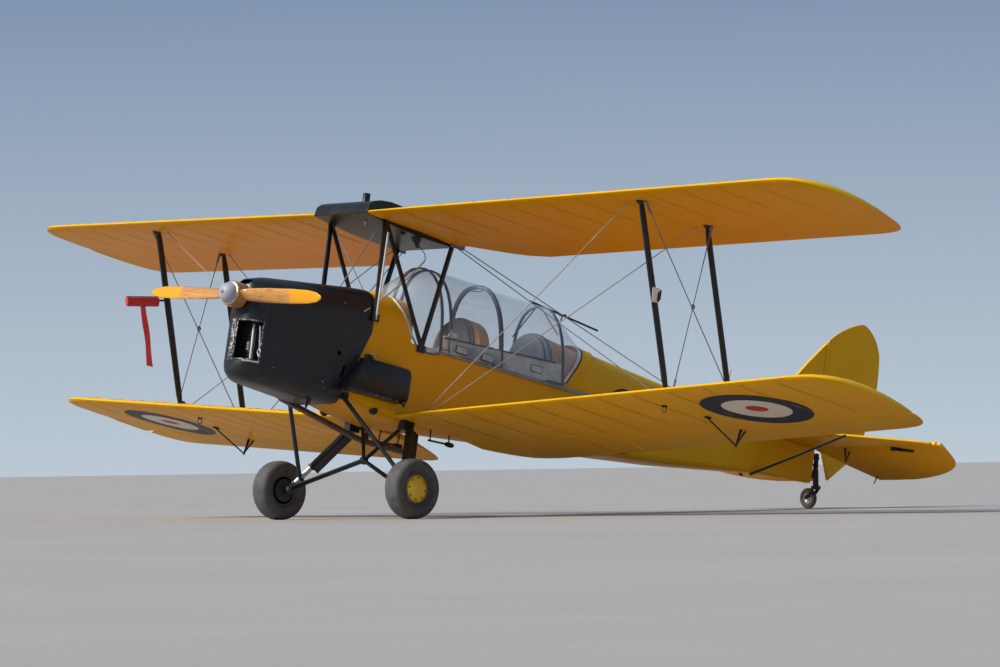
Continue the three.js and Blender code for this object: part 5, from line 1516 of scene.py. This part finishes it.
def build_tail():
    """Tail leg, castor and wheel, struts and control horns."""
    for side, sign in SIDES:
        dressed(f"tailplane_strut_{side}", "strut enamel", angle=50)
        horn = Shape()
        root = at(6.44, sign * 0.42, 0.1)
        horn.tube([root, root + way(0.25, 0, -1) * 0.12], [0.016, 0.006], 8, 0.4)
        horn.tube([root + AFT * 0.06 - UP * 0.02, root + way(0.25, 0, -1) * 0.12], [0.01, 0.005], 8, 0.5)
        horn.piece(f"elevator_horn_{side}", "strut enamel", "elevator")
    lift = caster("elevator")
    fittings = Shape()
    knobs = ((6.455, -0.95, 0.02), (6.47, -1.01, 0.011), (6.485, -1.075, 0.009), (6.5, -1.14, 0.006))
    for x, y, size in knobs:
        spot = cast(lift, at(x, y, -1.0), UP)
        profile = [(0, size), (0.012 + size, size), (0.016 + size, size * 0.6)]
        fittings.turned(spot + UP * 0.004, UP * -1, profile, 14)
    ends = [cast(lift, at(x, y, -1.0), UP, 0.012) for x, y in ((6.45, -0.93), (6.475, -1.03), (6.5, -1.15))]
    fittings.tube(ends, [0.016, 0.013, 0.009], 10, 0.7)
    corner = cast(lift, at(6.88, -0.41, -1.0), UP)
    fittings.tube([corner + UP * 0.004, corner - UP * 0.07 - AFT * 0.03], [0.006, 0.004], 8)
    fittings.piece("elevator_fittings", "strut enamel", "elevator")
    dressed("tail_leg", "strut enamel", angle=44)
    dressed("tail_fork", "strut enamel", angle=44)
    dressed("tail_wheel", "pale ring", angle=40)
    dressed("tail_tyre", "tyre rubber", angle=40)
    centre = Vector((TAIL_X, TAIL_Y, TAIL_Z))
    # Painted shade: near-black discs on the tail wheel's faces stand in for the shade inside its holes.
    hollows = Shape()
    for face in (-1, 1):
        disc = centre + Vector((face * 0.0093, 0, 0))
        for spot in circle(disc, SIDE, Vector((0.0, 0.0, 1.0)), 0.0258, 5):
            hollows.turned(spot, Vector((face, 0, 0)), [(0, 0.0075), (0.0008, 0.0075)], 14)
    hollows.piece("tail_wheel_holes", "dark hollow", BODY_OF["tail_wheel"])
    leg = Shape()
    for z in (0.03, -0.03, -0.13):
        leg.turned(at(6.546, 0, z), UP, [(0, 0.022), (0.003, 0.028), (0.016, 0.028), (0.019, 0.022)], 18)
    leg.piece("tail_leg_collars", "strut enamel")


def colour(label, text, default):
    """Colour property of the sidebar."""
    return FloatVectorProperty(
        name=label, description=text, subtype="COLOR", size=3, default=default, min=0, max=1
    )


def length(label, text, default, low, high):
    """Length property of the sidebar."""
    return FloatProperty(name=label, description=text, default=default, min=low, max=high, unit="LENGTH")


def turn(label, text, default):
    """Angle property of the sidebar."""
    return FloatProperty(name=label, description=text, default=default, subtype="ANGLE")


class BiplaneColours(bpy.types.PropertyGroup):
    """Paint and material colours."""

    yellow: colour("Yellow", "Fabric and panels", (0.95, 0.53, 0.004))
    amber: colour("Amber", "Deeper patches of the yellow", (0.84, 0.46, 0.006))
    # Painted shade: the deeper amber that fabric facing down or sideways is painted with.
    underside_shade: colour("Underside", "Fabric seen from below", (0.68, 0.275, 0.001))
    black: colour("Black", "Cowl, tanks and struts", (0.012, 0.012, 0.013))
    wheel: colour("Wheel yellow", "Wheel discs", (0.8, 0.46, 0.02))
    grey: colour("Frame grey", "Hood frames", (0.075, 0.09, 0.125))
    aluminium: colour("Aluminium", "Skirts and sill rails", (0.56, 0.54, 0.51))
    glass: colour("Glazing", "Hood sheet", (0.7, 0.8, 0.9))
    wood: colour("Wood", "Propeller", (0.62, 0.27, 0.06))
    rubber: colour("Rubber", "Tyres", (0.058, 0.055, 0.052))
    tan: colour("Tan", "Deckings", (0.42, 0.22, 0.09))
    slate: colour("Slate", "Headrests and seats", (0.075, 0.1, 0.13))
    red: colour("Red", "Pressure tube cover", (0.55, 0.012, 0.02))
    roundel_blue: colour("Roundel blue", "Outer ring", (0.012, 0.019, 0.036))
    roundel_white: colour("Roundel white", "Middle ring", (0.72, 0.64, 0.54))
    roundel_red: colour("Roundel red", "Centre", (0.45, 0.015, 0.02))


class BiplaneSizes(bpy.types.PropertyGroup):
    """Sizes of the fittings."""

    tape_width: length("Rib tape width", "Width of the rib tapes", 0.03, 0.01, 0.08)
    roundel_radius: length("Roundel radius", "Outer radius of the roundels", 0.41, 0.1, 0.6)
    wire_radius: length("Wire radius", "Radius of the bracing wires", 0.004, 0.001, 0.01)


class BiplaneStage(bpy.types.PropertyGroup):
    """Camera, floor and light."""

    camera_place: FloatVectorProperty(
        name="Camera place",
        description="Where the camera stands",
        subtype="TRANSLATION",
        size=3,
        default=(-31.65944, -32.96094, 0.38555),
    )
    camera_yaw: turn("Yaw", "Turn from straight ahead", 0.753322)
    camera_pitch: turn("Pitch", "Tilt above level", 0.0235466)
    camera_roll: turn("Roll", "Turn about the view", -0.01536)
    lens: FloatProperty(
        name="Lens", description="Focal length in millimetres", default=204.529, min=20, max=500
    )
    floor_colour: colour("Floor", "Colour of the floor", (0.37, 0.34, 0.315))
    sky_colour: colour("Sky", "Colour of the surrounding light", (0.2, 0.285, 0.42))
    horizon_colour: colour("Horizon", "Colour of the light near the floor", (0.5, 0.58, 0.66))
    sky_strength: FloatProperty(
        name="Sky strength", description="Brightness of the surrounding light", default=1.0, min=0, max=5
    )
    sun_strength: FloatProperty(
        name="Sun strength", description="Brightness of the main light", default=4.2, min=0, max=20
    )
    sun_from: FloatVectorProperty(
        name="Sun from",
        description="Direction that the main light comes from",
        subtype="DIRECTION",
        size=3,
        default=(-0.7, 0.3, 0.62),
    )


def operator(name, label, doc, build):
    """Operator class that runs one building function."""

    def execute(self, context):
        build()
        return {"FINISHED"}

    fields = {"bl_idname": "biplane." + name, "bl_label": label, "__doc__": doc, "execute": execute}
    return type("BIPLANE_OT_" + name, (bpy.types.Operator,), fields)


STEPS = [
    operator("camera", "Camera", "Places the camera", build_camera),
    operator("stage", "Stage", "Makes the floor, sky and lights", build_stage),
    operator("wings", "Wings", "Makes the wings and what is on them", build_wings),
    operator("body", "Body", "Makes the fuselage and tail surfaces", build_body),
    operator("nose", "Nose", "Makes the cowl, tanks and engine", build_nose),
    operator("propeller", "Propeller", "Makes the propeller and spinner", build_propeller),
    operator("canopy", "Canopy", "Makes the windscreen and hoods", build_canopy),
    operator("cockpits", "Cockpits", "Makes the seats, headrests and deckings", build_cockpits),
    operator("struts", "Struts", "Makes the struts and the pressure tube's cover", build_struts),
    operator("rigging", "Rigging", "Makes the wires", build_rigging),
    operator("gear", "Gear", "Makes the undercarriage", build_gear),
    operator("tail", "Tail", "Makes the tail leg, wheel and horns", build_tail),
]


class BIPLANE_PT_panel(bpy.types.Panel):
    """Lists the steps and their settings."""

    bl_idname = "BIPLANE_PT_panel"
    bl_label = "Training Biplane"
    bl_space_type = "VIEW_3D"
    bl_region_type = "UI"
    bl_category = "Biplane"

    def draw(self, context):
        for step in STEPS:
            self.layout.operator(step.bl_idname)
        for group in [getattr(context.scene, key) for key in GROUPS]:
            for key in group.__annotations__:
                self.layout.prop(group, key)


GROUPS = {"biplane_colours": BiplaneColours, "biplane_sizes": BiplaneSizes, "biplane_stage": BiplaneStage}


def register():
    for cls in [*GROUPS.values(), *STEPS, BIPLANE_PT_panel]:
        bpy.utils.register_class(cls)
    for key, cls in GROUPS.items():
        setattr(bpy.types.Scene, key, PointerProperty(type=cls))


def unregister():
    for key in GROUPS:
        delattr(bpy.types.Scene, key)
    for cls in reversed([*GROUPS.values(), *STEPS, BIPLANE_PT_panel]):
        bpy.utils.unregister_class(cls)


def main():
    register()
    for step in STEPS:
        getattr(bpy.ops.biplane, step.bl_idname.split(".")[1])()


if __name__ == "__main__":
    main()
